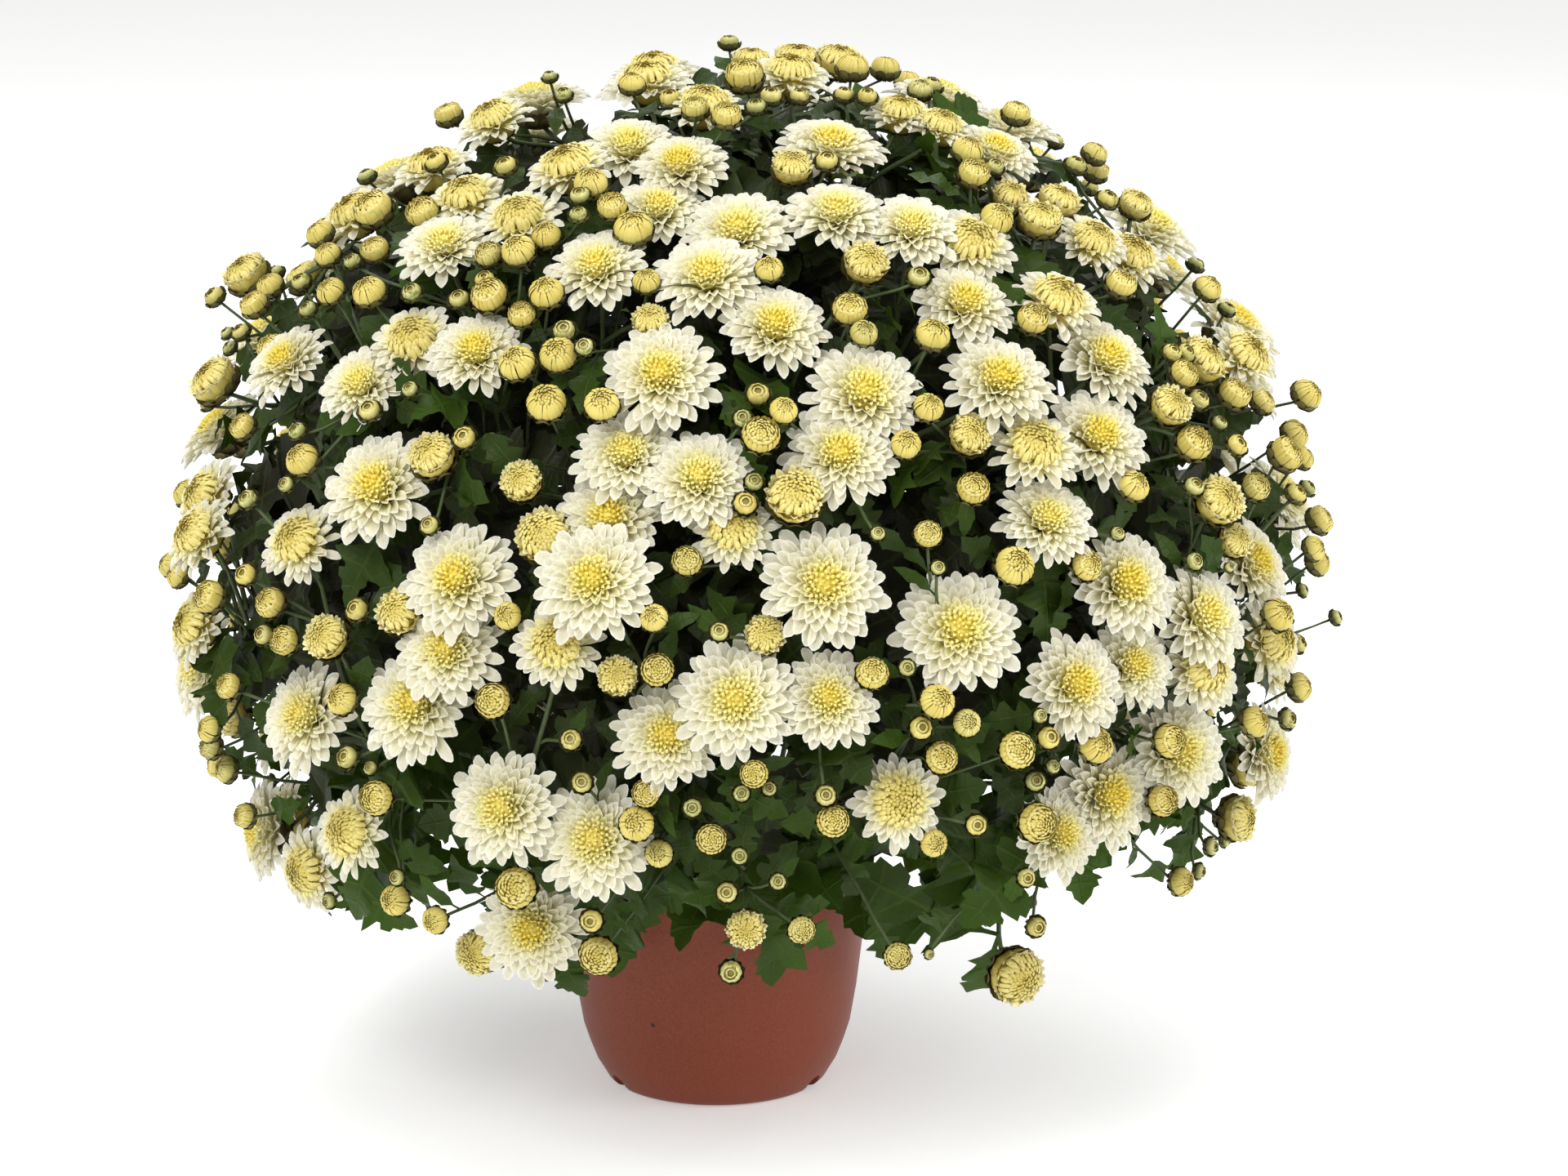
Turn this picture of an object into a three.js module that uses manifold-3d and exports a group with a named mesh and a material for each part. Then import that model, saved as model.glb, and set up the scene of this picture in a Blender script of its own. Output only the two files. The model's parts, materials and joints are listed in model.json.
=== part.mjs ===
// A pot chrysanthemum: a dome of white double heads, half-open heads and buds on leafy stems that
// stand in the compost of a tapered plastic pot.
//
// Millimetres, +Z up. The origin is the centre of the pot's foot, and -Y is the front.

import * as THREE from "three";
import { mergeVertices } from "three/addons/utils/BufferGeometryUtils.js";
import Module from "manifold-3d";

const wasm = await Module();
wasm.setup();

// ---------------------------------------------------------------------------------------------
// Driving dimensions

const GAP = 0.35; // between two pieces that are not joined

// Pot: radius and height along its outside from foot to rim, then down its inside
const POT_SIDES = 20;
const POT_OUTSIDE = [
  [49, 0], [52.5, 2.5], [57.5, 11], [63.5, 28], [69, 66], [73.4, 111], [76.2, 112.5], [76.6, 125],
];
const POT_INSIDE = [[74.4, 125], [71.4, 111], [67.2, 66], [61.7, 28], [55.6, 11.5], [48, 2.6]];
const DRAIN_ANGLES = [0, 120, 240]; // degrees round from the back
const DRAIN_RADIUS = 5.5;
const DRAIN_HEIGHT = 2;
const DRAIN_LENGTH = 20;
const DRAIN_SIDES = 8;

// Compost
const COMPOST_TOP = 108;
const COMPOST_SIDE = [[47, 3], [54.6, 12.2], [66, 66], [70.4, COMPOST_TOP]];
const HOLE_DEPTH = 18;
const STEM_SPREAD = 40; // how far apart the main stems stand, against how far they fan out

// The dome that the heads cover: an ellipsoid
const DOME_CENTRE = new THREE.Vector3(13, 0, 250);
const DOME_REACH = 262;
const DOME_RISE = 235;

// All stems fan out from this point, just above the compost
const CROWN = new THREE.Vector3(6, 0, 128);

// The front heads are set on a front elevation in perspective, drawn from this standing point
const STATION = new THREE.Vector3(32, -2600, 895);

// Main stems: rings of directions round the crown, by elevation in degrees
const STEM_RINGS = [
  { count: 1, elevation: 90, turn: 0, reach: 225 },
  { count: 5, elevation: 54, turn: 18, reach: 200 },
  { count: 8, elevation: 17, turn: 8, reach: 165 },
];
const STEM_RADIUS = 2.6;
const STEM_TIP_RADIUS = 1.5;
const STEM_SIDES = 5;
const STEM_GUIDE = new THREE.Vector3(0.8, 0.5, 0.33); // where the first side of a stem points
const STEM_BOW = 9; // how far a main stem rises above a straight line
const STALK_RADIUS = 1.2;
const STALK_SIDES = 3;
const LEADER_SHARES = [0.75, 0.9, 0.6, 0.45, 0.3]; // where a bunch leaves its main stem
const BRANCH_SHARES = [0.2, 0.3, 0.4, 0.5, 0.6, 0.7, 0.8]; // where a stalk leaves a leading stalk
const BEST_SLANT = 0.75; // cosine between a stalk and the leading stalk that it leaves
const SLANT_COST = 60; // millimetres that a stalk may be longer for a slant better by one

// Heads. Each stage sinks its own share into the dome and plays above that by another, and is
// joined to its stalk its own share of its radius below its middle.
const STAGES = {
  bloom: { sunk: 0.045, play: 0.03, base: 0.3 },
  half: { sunk: 0.02, play: 0.03, base: 0.62 },
  bud: { sunk: 0, play: 0.035, base: 0.85 },
};
const BLOOM_PETALS = 5; // in each of the two rings of a full head
const HALF_PETALS = 5;
const BUD_SIDES = 5;
const CUP_WIDTH = 0.17; // the bract cup's radius, as a share of the head's
const BLOOMS_A_BUNCH = 2.85;
const LIFTS = [0, 4, -4, 8, -8, 12, -12]; // steps up or down that find a full head a clear place

// Leaves. Half of the outline runs from the stalk to the tip, along and across, as shares of the
// length.
const LEAF_EDGE = [[-0.26, 0.02], [0.26, 0.36], [0.42, 0.18], [0.66, 0.38]];
const LEAF_TIP = [1, 0];
const LEAF_MIDDLE = [0.45, 0];
const LEAF_THICKNESS = 0.8; // at its edge
const LEAF_CROWN = 1.4; // and in its middle
const LEAF_LENGTH = 46;
const LEAF_SHARES = [0.2, 0.45, 0.7, 0.92]; // along the upper part of a main stem
const LEAF_TRIES = 5;
const GOLDEN_ANGLE = THREE.MathUtils.degToRad(137.508);

// Leaves that hang over the rim: place along the lower part of a main stem, and how much they
// point outwards, down and to a side
const RIM_LEAVES = [
  { share: 0.95, outwards: 0.35, down: 0.9, aside: 0.3, length: 58 },
  { share: 0.6, outwards: 0.8, down: 0.4, aside: -0.8, length: 50 },
];

// Heads set by hand on the front elevation: across from the pot's axis, height, diameter
const FRONT_BLOOMS = [
  [-41, 452, 38], [-16, 442, 36], [-27, 426, 36], [-5, 469, 29], [55, 452, 47], [87, 465, 22],
  [105, 458, 20], [131, 447, 37], [11, 415, 46], [58, 419, 41], [92, 409, 36], [120, 403, 34],
  [-3, 386, 46], [28, 363, 43], [-55, 391, 42], [-118, 426, 32], [-92, 415, 32], [-126, 400, 39],
  [-68, 439, 34], [-112, 350, 39], [-144, 357, 32], [-166, 335, 35], [-200, 345, 35], [-243, 262, 31],
  [-198, 258, 31], [-158, 285, 53], [-121, 240, 51], [-127, 206, 45], [-145, 177, 54], [-199, 171, 47],
  [-175, 115, 31], [-102, 127, 49], [-58, 110, 51], [-89, 67, 47], [-25, 339, 49], [-44, 300, 42],
  [-8, 289, 45], [-54, 271, 45], [-55, 241, 52], [-75, 208, 31], [8, 265, 29], [70, 330, 52],
  [57, 300, 45], [48, 235, 54], [117, 214, 56], [11, 185, 52], [53, 181, 40], [-24, 162, 43],
  [88, 129, 34], [119, 376, 41], [133, 336, 46], [159, 373, 34], [185, 348, 43], [150, 303, 34],
  [183, 310, 45], [157, 269, 38], [196, 238, 50], [231, 220, 47], [202, 197, 35], [169, 189, 44],
  [222, 155, 47], [190, 131, 48], [163, 115, 35], [266, 154, 42], [247, 348, 31], [197, 398, 30],
  [177, 404, 25], [259, 248, 42], [267, 210, 33], [231, 199, 32],
];
const FRONT_HALF_OPEN = [
  [-230, 336, 25], [-214, 386, 23], [-133, 300, 22], [-146, 226, 21], [-115, 56, 21], [-78, 264, 25],
  [-91, 289, 19], [41, 285, 26], [247, 125, 23], [143, 46, 27], [227, 347, 24], [161, 424, 21],
  [147, 414, 21], [140, 423, 18], [192, 418, 17], [233, 277, 24], [209, 324, 20], [-180, 214, 21],
  [70, 393, 21], [36, 440, 19], [14, 71, 18], [240, 263, 17], [-30, 365, 17], [120, 312, 20],
  [-46, 195, 18], [27, 213, 18],
];
const FRONT_BUDS = [
  [63, 482, 15], [14, 476, 17], [135, 457, 13], [121, 404, 15], [-56, 428, 15], [-87, 418, 16],
  [-152, 413, 18], [-133, 415, 15], [-176, 402, 13], [-155, 376, 15], [-88, 395, 15], [-42, 403, 17],
  [-101, 374, 16], [-75, 375, 15], [-228, 379, 11], [-205, 369, 13], [62, 370, 15], [100, 358, 15],
  [179, 421, 11], [226, 380, 13], [236, 334, 15], [253, 327, 12], [268, 329, 15], [219, 307, 16],
  [269, 312, 14], [259, 301, 16], [271, 293, 11], [263, 283, 11], [279, 251, 13], [258, 229, 15],
  [-88, 343, 16], [-72, 348, 16], [-76, 325, 17], [-48, 321, 15], [21, 309, 16], [136, 249, 17],
  [-102, 185, 15], [105, 192, 15], [138, 162, 16], [147, 128, 17], [-37, 126, 15], [-92, 96, 18],
  [-55, 61, 17], [-154, 140, 15], [-234, 234, 15], [-189, 299, 15], [220, 95, 13], [213, 163, 15],
  [174, 168, 16],
];

// Heads drawn by rule round the sides and the back
const BACK_HEADS = [
  { stage: "bloom", count: 54, smallest: 40, largest: 52 },
  { stage: "half", count: 12, smallest: 19, largest: 26 },
  { stage: "bud", count: 16, smallest: 12, largest: 16 },
];
const CANDIDATES = 5;

// ---------------------------------------------------------------------------------------------
// Small helpers

// A seeded draw between 0 and 1
function makeDraw(seed) {
  let state = seed;
  return () => {
    state = (Math.imul(state, 1103515245) + 12345) & 0x7fffffff;
    return state / 2147483648;
  };
}

const UP = new THREE.Vector3(0, 0, 1);

function between(from, to, share) {
  return new THREE.Vector3().lerpVectors(from, to, share);
}

function towards(from, to) {
  return new THREE.Vector3().subVectors(to, from).normalize();
}

// A weighted sum of vectors, given as pairs of weight and vector
function blend(...terms) {
  return terms.reduce((sum, [weight, vector]) => sum.addScaledVector(vector, weight), new THREE.Vector3());
}

// Two directions square to an axis, the first as near to a guide as it can be
function squareTo(axis, guide) {
  const side = blend([1, guide], [-guide.dot(axis), axis]).normalize();
  const across = new THREE.Vector3().crossVectors(axis, side);
  return { axis, side, across };
}

// A closed geometry as a solid that can be joined and cut
function solidOf(geometry) {
  const bare = new THREE.BufferGeometry();
  bare.setAttribute("position", geometry.getAttribute("position"));
  bare.setIndex(geometry.getIndex());
  const merged = mergeVertices(bare, 1e-4);
  const index = merged.getIndex().array;
  const faces = [];
  for (let at = 0; at < index.length; at += 3) {
    const [a, b, c] = [index[at], index[at + 1], index[at + 2]];
    if (a !== b && b !== c && c !== a) faces.push(a, b, c);
  }
  const vertProperties = new Float32Array(merged.getAttribute("position").array);
  return new wasm.Manifold(new wasm.Mesh({ numProp: 3, vertProperties, triVerts: new Uint32Array(faces) }));
}

// Triangles between two loops of points, whose counts may differ
function band(low, lowCount, high, highCount) {
  const faces = [];
  let i = 0;
  let j = 0;
  while (i < lowCount || j < highCount) {
    const here = low + (i % lowCount);
    const there = high + (j % highCount);
    if (highCount === 1 || (lowCount > 1 && (i + 1) * highCount <= (j + 1) * lowCount)) {
      if (i === lowCount) break;
      i += 1;
      faces.push(here, low + (i % lowCount), there);
    } else {
      if (j === highCount) break;
      j += 1;
      faces.push(here, high + (j % highCount), there);
    }
  }
  return faces;
}

// A closed skin over a row of loops. They run anticlockwise seen from the last one. A loop of one
// point closes an end to a tip, and an end loop of more is closed flat.
function skin(loops) {
  const points = loops.flat();
  const faces = [];
  let low = 0;
  for (let ring = 0; ring + 1 < loops.length; ring++) {
    const high = low + loops[ring].length;
    faces.push(...band(low, loops[ring].length, high, loops[ring + 1].length));
    low = high;
  }
  for (let i = 1; i + 1 < loops[0].length; i++) faces.push(0, i + 1, i);
  for (let i = 1; i + 1 < loops[loops.length - 1].length; i++) faces.push(low, low + i, low + i + 1);
  const geometry = new THREE.BufferGeometry().setFromPoints(points);
  geometry.setIndex(faces);
  return solidOf(geometry);
}

// A loop of points round an axis, with a radius and a height along the axis at each step
function loopRound(centre, frame, count, radiusAt, heightAt = () => 0) {
  const loop = [];
  for (let i = 0; i < count; i++) {
    const angle = (i / count) * 2 * Math.PI;
    const radius = radiusAt(i);
    const around = blend([Math.cos(angle) * radius, frame.side], [Math.sin(angle) * radius, frame.across]);
    loop.push(around.addScaledVector(frame.axis, heightAt(i)).add(centre));
  }
  return loop;
}

// Loops along a limb that runs through points, with a radius at each
function limbLoops(points, radii, sides, guide) {
  return points.map((point, at) => {
    const before = points[Math.max(at - 1, 0)];
    const after = points[Math.min(at + 1, points.length - 1)];
    return loopRound(point, squareTo(towards(before, after), guide), sides, () => radii[at]);
  });
}

function joined(solids) {
  return solids.reduce((sum, solid) => sum.add(solid));
}

// ---------------------------------------------------------------------------------------------
// Pot and compost

// A solid of revolution from pairs of radius and height
function turned(profile) {
  const points = profile.map(([radius, height]) => new THREE.Vector2(radius, height));
  const geometry = new THREE.LatheGeometry(points, POT_SIDES);
  return solidOf(geometry.rotateX(Math.PI / 2));
}

// The pot, with arched drainage holes through its lower edge
function potSolid() {
  const [, floor] = POT_INSIDE[POT_INSIDE.length - 1];
  const shell = turned([[0, 0], ...POT_OUTSIDE, ...POT_INSIDE, [0, floor]]);
  const holes = DRAIN_ANGLES.map((angle) => {
    const hole = new THREE.CylinderGeometry(DRAIN_RADIUS, DRAIN_RADIUS, DRAIN_LENGTH, DRAIN_SIDES);
    hole.translate(0, POT_OUTSIDE[1][0], DRAIN_HEIGHT).rotateZ(THREE.MathUtils.degToRad(-angle));
    return solidOf(hole);
  });
  return shell.subtract(joined(holes));
}

// ---------------------------------------------------------------------------------------------
// Where the heads are

// How far out a point is, where 1 is on the dome
function domeLevel(point) {
  const from = new THREE.Vector3().subVectors(point, DOME_CENTRE);
  return Math.hypot(from.x / DOME_REACH, from.y / DOME_REACH, from.z / DOME_RISE);
}

// Where the sight line to a point of the front elevation meets the dome, or passes it closest
function onDome(across, height) {
  const start = new THREE.Vector3().subVectors(STATION, DOME_CENTRE);
  const sight = new THREE.Vector3(across, 0, height).sub(STATION);
  const shape = new THREE.Vector3(DOME_REACH, DOME_REACH, DOME_RISE);
  const p = start.clone().divide(shape);
  const q = sight.clone().divide(shape);
  const nearest = -p.dot(q) / q.dot(q);
  const miss = p.dot(p) - nearest * nearest * q.dot(q);
  const back = miss < 1 ? Math.sqrt((1 - miss) / q.dot(q)) : 0;
  return STATION.clone().addScaledVector(sight, nearest - back);
}

function domeNormal(point) {
  const shape = new THREE.Vector3(DOME_REACH ** 2, DOME_REACH ** 2, DOME_RISE ** 2);
  return new THREE.Vector3().subVectors(point, DOME_CENTRE).divide(shape).normalize();
}

function makeHead(stage, place, diameter, draw) {
  const outermost = Math.max(domeLevel(place), 1);
  const level = outermost - STAGES[stage].sunk + STAGES[stage].play * draw();
  return { stage, place, radius: diameter / 2, level };
}

// How far apart two heads have to stand
function spacing(a, b) {
  if (a.stage === "bloom" && b.stage === "bloom") return 0.62 * (a.radius + b.radius);
  if (a.stage === "bloom") return a.radius + 0.5 * b.radius;
  if (b.stage === "bloom") return b.radius + 0.5 * a.radius;
  return a.radius + b.radius + 1;
}

// Heads that stand too close push each other along the dome, the larger one less
function settle(heads, fixed, rounds) {
  for (let round = 0; round < rounds; round++) {
    for (let i = fixed; i < heads.length; i++) {
      for (let j = 0; j < i; j++) {
        const [a, b] = [heads[i], heads[j]];
        const apart = a.place.distanceTo(b.place);
        const short = spacing(a, b) - apart;
        if (short <= 0) continue;
        const share = j < fixed ? 1 : b.radius / (a.radius + b.radius);
        const away = towards(b.place, a.place);
        a.place.addScaledVector(away, short * share);
        b.place.addScaledVector(away, -short * (1 - share));
      }
    }
    for (const head of heads.slice(fixed)) {
      const out = new THREE.Vector3().subVectors(head.place, DOME_CENTRE);
      const stretch = head.level / domeLevel(head.place);
      head.place.copy(DOME_CENTRE).addScaledVector(out, stretch);
    }
  }
}

// A point of the dome that the standing point doesn't see, with the most room round it
function roomiest(heads, radius, draw) {
  let best = null;
  let bestRoom = -Infinity;
  for (let tries = 0; tries < CANDIDATES; ) {
    const height = -0.56 + 1.52 * draw();
    const angle = 2 * Math.PI * draw();
    const round = Math.sqrt(1 - height * height);
    const unit = new THREE.Vector3(round * Math.cos(angle), round * Math.sin(angle), height);
    const place = unit.multiply(new THREE.Vector3(DOME_REACH, DOME_REACH, DOME_RISE)).add(DOME_CENTRE);
    if (domeNormal(place).dot(towards(place, STATION)) > 0.02) continue;
    tries += 1;
    const room = Math.min(...heads.map((h) => h.place.distanceTo(place) - h.radius)) - radius;
    if (room > bestRoom) {
      bestRoom = room;
      best = place;
    }
  }
  return best;
}

// Which way a head faces: mostly away from the crown, partly square to the dome, a little at random
function faceHead(head, draw) {
  const facing = towards(CROWN, head.place).multiplyScalar(0.7);
  facing.addScaledVector(domeNormal(head.place), 0.3).normalize();
  const stray = new THREE.Vector3(draw() - 0.5, draw() - 0.5, draw() - 0.5);
  head.normal = facing.addScaledVector(stray, 0.3).normalize();
  head.guide = new THREE.Vector3(draw() - 0.5, draw() - 0.5, draw() - 0.5).normalize();
}

function layHeads() {
  const draw = makeDraw(2024);
  const heads = [];
  const rows = { bloom: FRONT_BLOOMS, half: FRONT_HALF_OPEN, bud: FRONT_BUDS };
  for (const { stage, count, smallest, largest } of BACK_HEADS) {
    const fixed = stage === "bud" ? heads.length : 0;
    for (const [across, height, diameter] of rows[stage]) {
      heads.push(makeHead(stage, onDome(across, height), diameter, draw));
    }
    for (let i = 0; i < count; i++) {
      const diameter = smallest + (largest - smallest) * draw();
      heads.push(makeHead(stage, roomiest(heads, diameter / 2, draw), diameter, draw));
    }
    settle(heads, fixed, 40);
  }
  for (const head of heads) faceHead(head, draw);
  return heads;
}

// ---------------------------------------------------------------------------------------------
// Heads as solids, each in one skin with its stalk

// The middle of a head's underside, where its stalk meets it
function footOf(head) {
  return blend([1, head.place], [-STAGES[head.stage].base * head.radius, head.normal]);
}

// The start of a stalk and the bract cup that it widens to under its head
function stalkLoops(head, start, grow) {
  const frame = squareTo(head.normal, head.guide);
  const foot = blend([1, footOf(head)], [-grow, head.normal]);
  const way = squareTo(towards(start, foot), frame.side);
  return [
    loopRound(start, way, STALK_SIDES, () => STALK_RADIUS + grow),
    loopRound(foot, frame, STALK_SIDES, () => CUP_WIDTH * head.radius + grow),
  ];
}

// Loops of a ring of petals: tips on the even steps, the gaps between them on the odd ones
function petalLoop(head, petals, tip, gap, grow = 0) {
  const frame = squareTo(head.normal, head.guide);
  const radius = head.radius;
  const radiusAt = (i) => (i % 2 === 0 ? tip[0] : gap[0]) * radius + grow;
  const heightAt = (i) => (i % 2 === 0 ? tip[1] : gap[1]) * radius;
  return loopRound(head.place, frame, 2 * petals, radiusAt, heightAt);
}

function peak(head, share, grow = 0) {
  return [blend([1, head.place], [share * head.radius + grow, head.normal])];
}

// A full head: a ring of spreading petals, and a raised ring over the gaps between them
function bloomLoops(head, grow) {
  return [
    petalLoop(head, BLOOM_PETALS, [1, 0.04], [0.7, -0.05], grow),
    petalLoop(head, BLOOM_PETALS, [0.46, 0.16], [0.66, 0.2], grow),
    peak(head, 0.34, grow),
  ];
}

// A half-open head: a cup of short petals round an incurved centre
function halfOpenLoops(head, grow) {
  const frame = squareTo(head.normal, head.guide);
  return [
    petalLoop(head, HALF_PETALS, [1, 0.3], [0.76, 0.05], grow),
    loopRound(head.place, frame, HALF_PETALS, () => 0.55 * head.radius + grow, () => 0.55 * head.radius),
    peak(head, 0.4, grow),
  ];
}

// A bud: a ball with a dimple on top
function budLoops(head, grow) {
  const frame = squareTo(head.normal, head.guide);
  const r = head.radius;
  return [
    loopRound(head.place, frame, BUD_SIDES, () => r + grow, () => -0.05 * r),
    loopRound(head.place, frame, BUD_SIDES, () => 0.62 * r + grow, () => 0.75 * r),
    peak(head, 0.42, grow),
  ];
}

const HEAD_LOOPS = { bloom: bloomLoops, half: halfOpenLoops, bud: budLoops };

function headSolid(head, start, grow = 0) {
  return skin([...stalkLoops(head, start, grow), ...HEAD_LOOPS[head.stage](head, grow)]);
}

// ---------------------------------------------------------------------------------------------
// Leaves

// A leaf from a point on a stem, along a direction, with its upper face the given way. It arches
// down towards its tip and folds up a little along its midrib.
function leafSolid(leaf, grow = 0) {
  const { root, along, upper, length } = leaf;
  const across = new THREE.Vector3().crossVectors(upper, along);
  const at = ([x, y], lift) => {
    const height = -0.28 * (x + 0.26) ** 2 + 0.25 * Math.abs(y);
    const flat = blend([1, root], [(x + 0.26) * length, along], [y * length, across]);
    return flat.addScaledVector(upper, height * length + lift);
  };
  const mirror = ([x, y]) => [x, -y];
  const right = LEAF_EDGE.map(mirror);
  const outline = [...right, LEAF_TIP, ...[...LEAF_EDGE].reverse()];
  const wide = 1 + (2 * grow) / length;
  const edge = (lift) => outline.map(([x, y]) => at([x, y * wide], lift));
  const half = LEAF_THICKNESS / 2 + grow;
  const crown = LEAF_CROWN / 2 + grow;
  return skin([[at(LEAF_MIDDLE, -crown)], edge(-half), edge(half), [at(LEAF_MIDDLE, crown)]]);
}

// ---------------------------------------------------------------------------------------------
// The plant: leafy main stems, and bunches of heads that branch from them

const stems = STEM_RINGS.flatMap(({ count, elevation, turn, reach }) => {
  const rise = THREE.MathUtils.degToRad(elevation);
  return Array.from({ length: count }, (_, i) => {
    const angle = THREE.MathUtils.degToRad(turn + (360 * i) / count);
    const level = Math.cos(rise);
    const out = new THREE.Vector3(level * Math.cos(angle), level * Math.sin(angle), Math.sin(rise));
    return { out, reach, heads: [], solids: [], bunches: [] };
  });
});

// The foot in its hole, the knee above the compost, the bow and the tip of a main stem
function stemPoints(stem) {
  const foot = blend([1, CROWN], [STEM_SPREAD, stem.out]);
  const tip = blend([1, CROWN], [stem.reach, stem.out]);
  const low = foot.clone().setZ(COMPOST_TOP - HOLE_DEPTH + GAP);
  const knee = foot.clone().setZ(COMPOST_TOP + 8);
  const bow = between(knee, tip, 0.45);
  bow.z += STEM_BOW;
  return [low, knee, bow, tip];
}

// The full heads of a stem in bunches, by their angle round the stem
function makeBunches(stem) {
  const frame = squareTo(stem.out, new THREE.Vector3(0.3, 0.2, -0.9));
  const around = (head) => {
    const way = towards(CROWN, head.place);
    return Math.atan2(way.dot(frame.across), way.dot(frame.side));
  };
  const full = stem.heads.filter((head) => head.stage === "bloom").sort((a, b) => around(a) - around(b));
  const count = Math.round(full.length / BLOOMS_A_BUNCH);
  for (let i = 0; i < count; i++) {
    const from = Math.round((i * full.length) / count);
    const members = full.slice(from, Math.round(((i + 1) * full.length) / count));
    const middle = blend(...members.map((head) => [1 / members.length, head.place]));
    members.sort((a, b) => a.place.distanceTo(middle) - b.place.distanceTo(middle));
    stem.bunches.push({ leader: members[0], others: members.slice(1), middle, solids: [] });
  }
}

// Solids that a later one has to keep clear of, with their boxes
const taken = [];

function boxOf(solid) {
  const box = solid.boundingBox();
  return new THREE.Box3(new THREE.Vector3(...box.min), new THREE.Vector3(...box.max));
}

function take(solid, owner) {
  owner.solids.push(solid);
  taken.push({ solid, box: boxOf(solid) });
  return solid;
}

// Whether a solid keeps clear of everything but what it grows from
function isClear(solid, parent) {
  const box = boxOf(solid);
  return taken.every((other) => {
    if (other.solid === parent || !other.box.intersectsBox(box)) return true;
    return other.solid.intersect(solid).isEmpty();
  });
}

// A point beside a main stem, just clear of it on the side of a head
function besideStem(from, tip, share, head) {
  const point = between(from, tip, share);
  const way = towards(from, tip);
  const side = squareTo(way, towards(point, head.place)).side;
  return blend([1, point], [STEM_RADIUS + STALK_RADIUS + GAP, side]);
}

// A head's solid is taken at the first start that leaves it clear. A full head may step up or down.
function placeHead(head, options) {
  const rest = head.place.clone();
  for (const lift of head.stage === "bloom" ? LIFTS : [0]) {
    head.place.copy(rest).addScaledVector(head.normal, lift);
    const found = options.find(({ point, parent }) => isClear(headSolid(head, point, GAP), parent));
    if (!found) continue;
    head.start = found.point;
    head.solid = take(headSolid(head, found.point), found.bunch);
    return true;
  }
  head.place.copy(rest);
  return false;
}

// Starts along the leading stalks of some bunches, the shortest and best slanted ones first
function startsAlong(bunches, head) {
  const foot = footOf(head);
  const options = bunches.flatMap((bunch) => {
    const { start, solid } = bunch.leader;
    const end = footOf(bunch.leader);
    return BRANCH_SHARES.map((share) => {
      const point = between(start, end, share);
      const slant = towards(point, foot).dot(towards(start, end));
      const cost = point.distanceTo(foot) + SLANT_COST * Math.abs(slant - BEST_SLANT);
      return { bunch, point, cost, parent: solid };
    });
  });
  return options.sort((a, b) => a.cost - b.cost);
}

// A leaf that stands out from a main stem at a turn round it
function leafAt(root, way, turn) {
  const frame = squareTo(way, STEM_GUIDE);
  const side = blend([Math.cos(turn), frame.side], [Math.sin(turn), frame.across]);
  const along = blend([0.75, way], [0.65, side]).normalize();
  const upper = blend([1, way], [-way.dot(along), along]).normalize();
  return { root, along, upper, length: LEAF_LENGTH };
}

// A leaf that hangs over the rim from the lower part of a main stem
function rimLeaf(stem, { share, outwards, down, aside, length }) {
  const [, knee, bow] = stem.points;
  const level = stem.out.clone().setZ(0).normalize();
  const round = new THREE.Vector3().crossVectors(UP, level);
  const along = blend([outwards, level], [-down, UP], [aside, round]).normalize();
  const upper = blend([1, UP], [-along.z, along]).normalize();
  return { root: between(knee, bow, share), along, upper, length };
}

function takeLeaf(leaf, stem) {
  if (!isClear(leafSolid(leaf, GAP), stem.solid)) return false;
  take(leafSolid(leaf), stem);
  return true;
}

const pot = { solids: [] };
const compost = { solids: [] };
take(potSolid(), pot);
take(turned([[0, COMPOST_SIDE[0][1]], ...COMPOST_SIDE, [0, COMPOST_TOP]]), compost);

// Each head goes to the main stem that points nearest to it
for (const head of layHeads()) {
  const way = towards(CROWN, head.place);
  stems.reduce((a, b) => (b.out.dot(way) > a.out.dot(way) ? b : a)).heads.push(head);
}

for (const stem of stems) {
  stem.points = stemPoints(stem);
  const radii = [STEM_RADIUS, STEM_RADIUS, STEM_RADIUS, STEM_TIP_RADIUS];
  stem.solid = take(skin(limbLoops(stem.points, radii, STEM_SIDES, STEM_GUIDE)), stem);
  makeBunches(stem);
}

// The leading heads of all bunches come first, then the other full heads, from their own bunch or
// else from any
for (const stem of stems) {
  const [, , bow, tip] = stem.points;
  for (const bunch of stem.bunches) {
    const startAt = (share) => ({ bunch, point: besideStem(bow, tip, share, bunch.leader) });
    placeHead(bunch.leader, LEADER_SHARES.map(startAt));
  }
}
const bunches = stems.flatMap((stem) => stem.bunches);
for (const bunch of bunches) {
  for (const head of bunch.others) {
    if (!placeHead(head, startsAlong([bunch], head))) placeHead(head, startsAlong(bunches, head));
  }
}

// Half-open heads and buds grow from the bunches of their main stem, where one has a clear start
for (const stage of ["half", "bud"]) {
  for (const stem of stems) {
    const small = stem.heads.filter((head) => head.stage === stage);
    for (const head of small) placeHead(head, startsAlong(stem.bunches, head));
  }
}

// Leaves turn round a main stem by the golden angle, on to the next clear place
for (const stem of stems) {
  const [, , bow, tip] = stem.points;
  let turn = 0;
  for (const share of LEAF_SHARES) {
    for (let tries = 0; tries < LEAF_TRIES; tries++) {
      turn += GOLDEN_ANGLE;
      if (takeLeaf(leafAt(between(bow, tip, share), towards(bow, tip), turn), stem)) break;
    }
  }
}
for (const stem of stems.filter(({ out }) => out.z < 0.5)) {
  for (const row of RIM_LEAVES) takeLeaf(rimLeaf(stem, row), stem);
}

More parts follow.
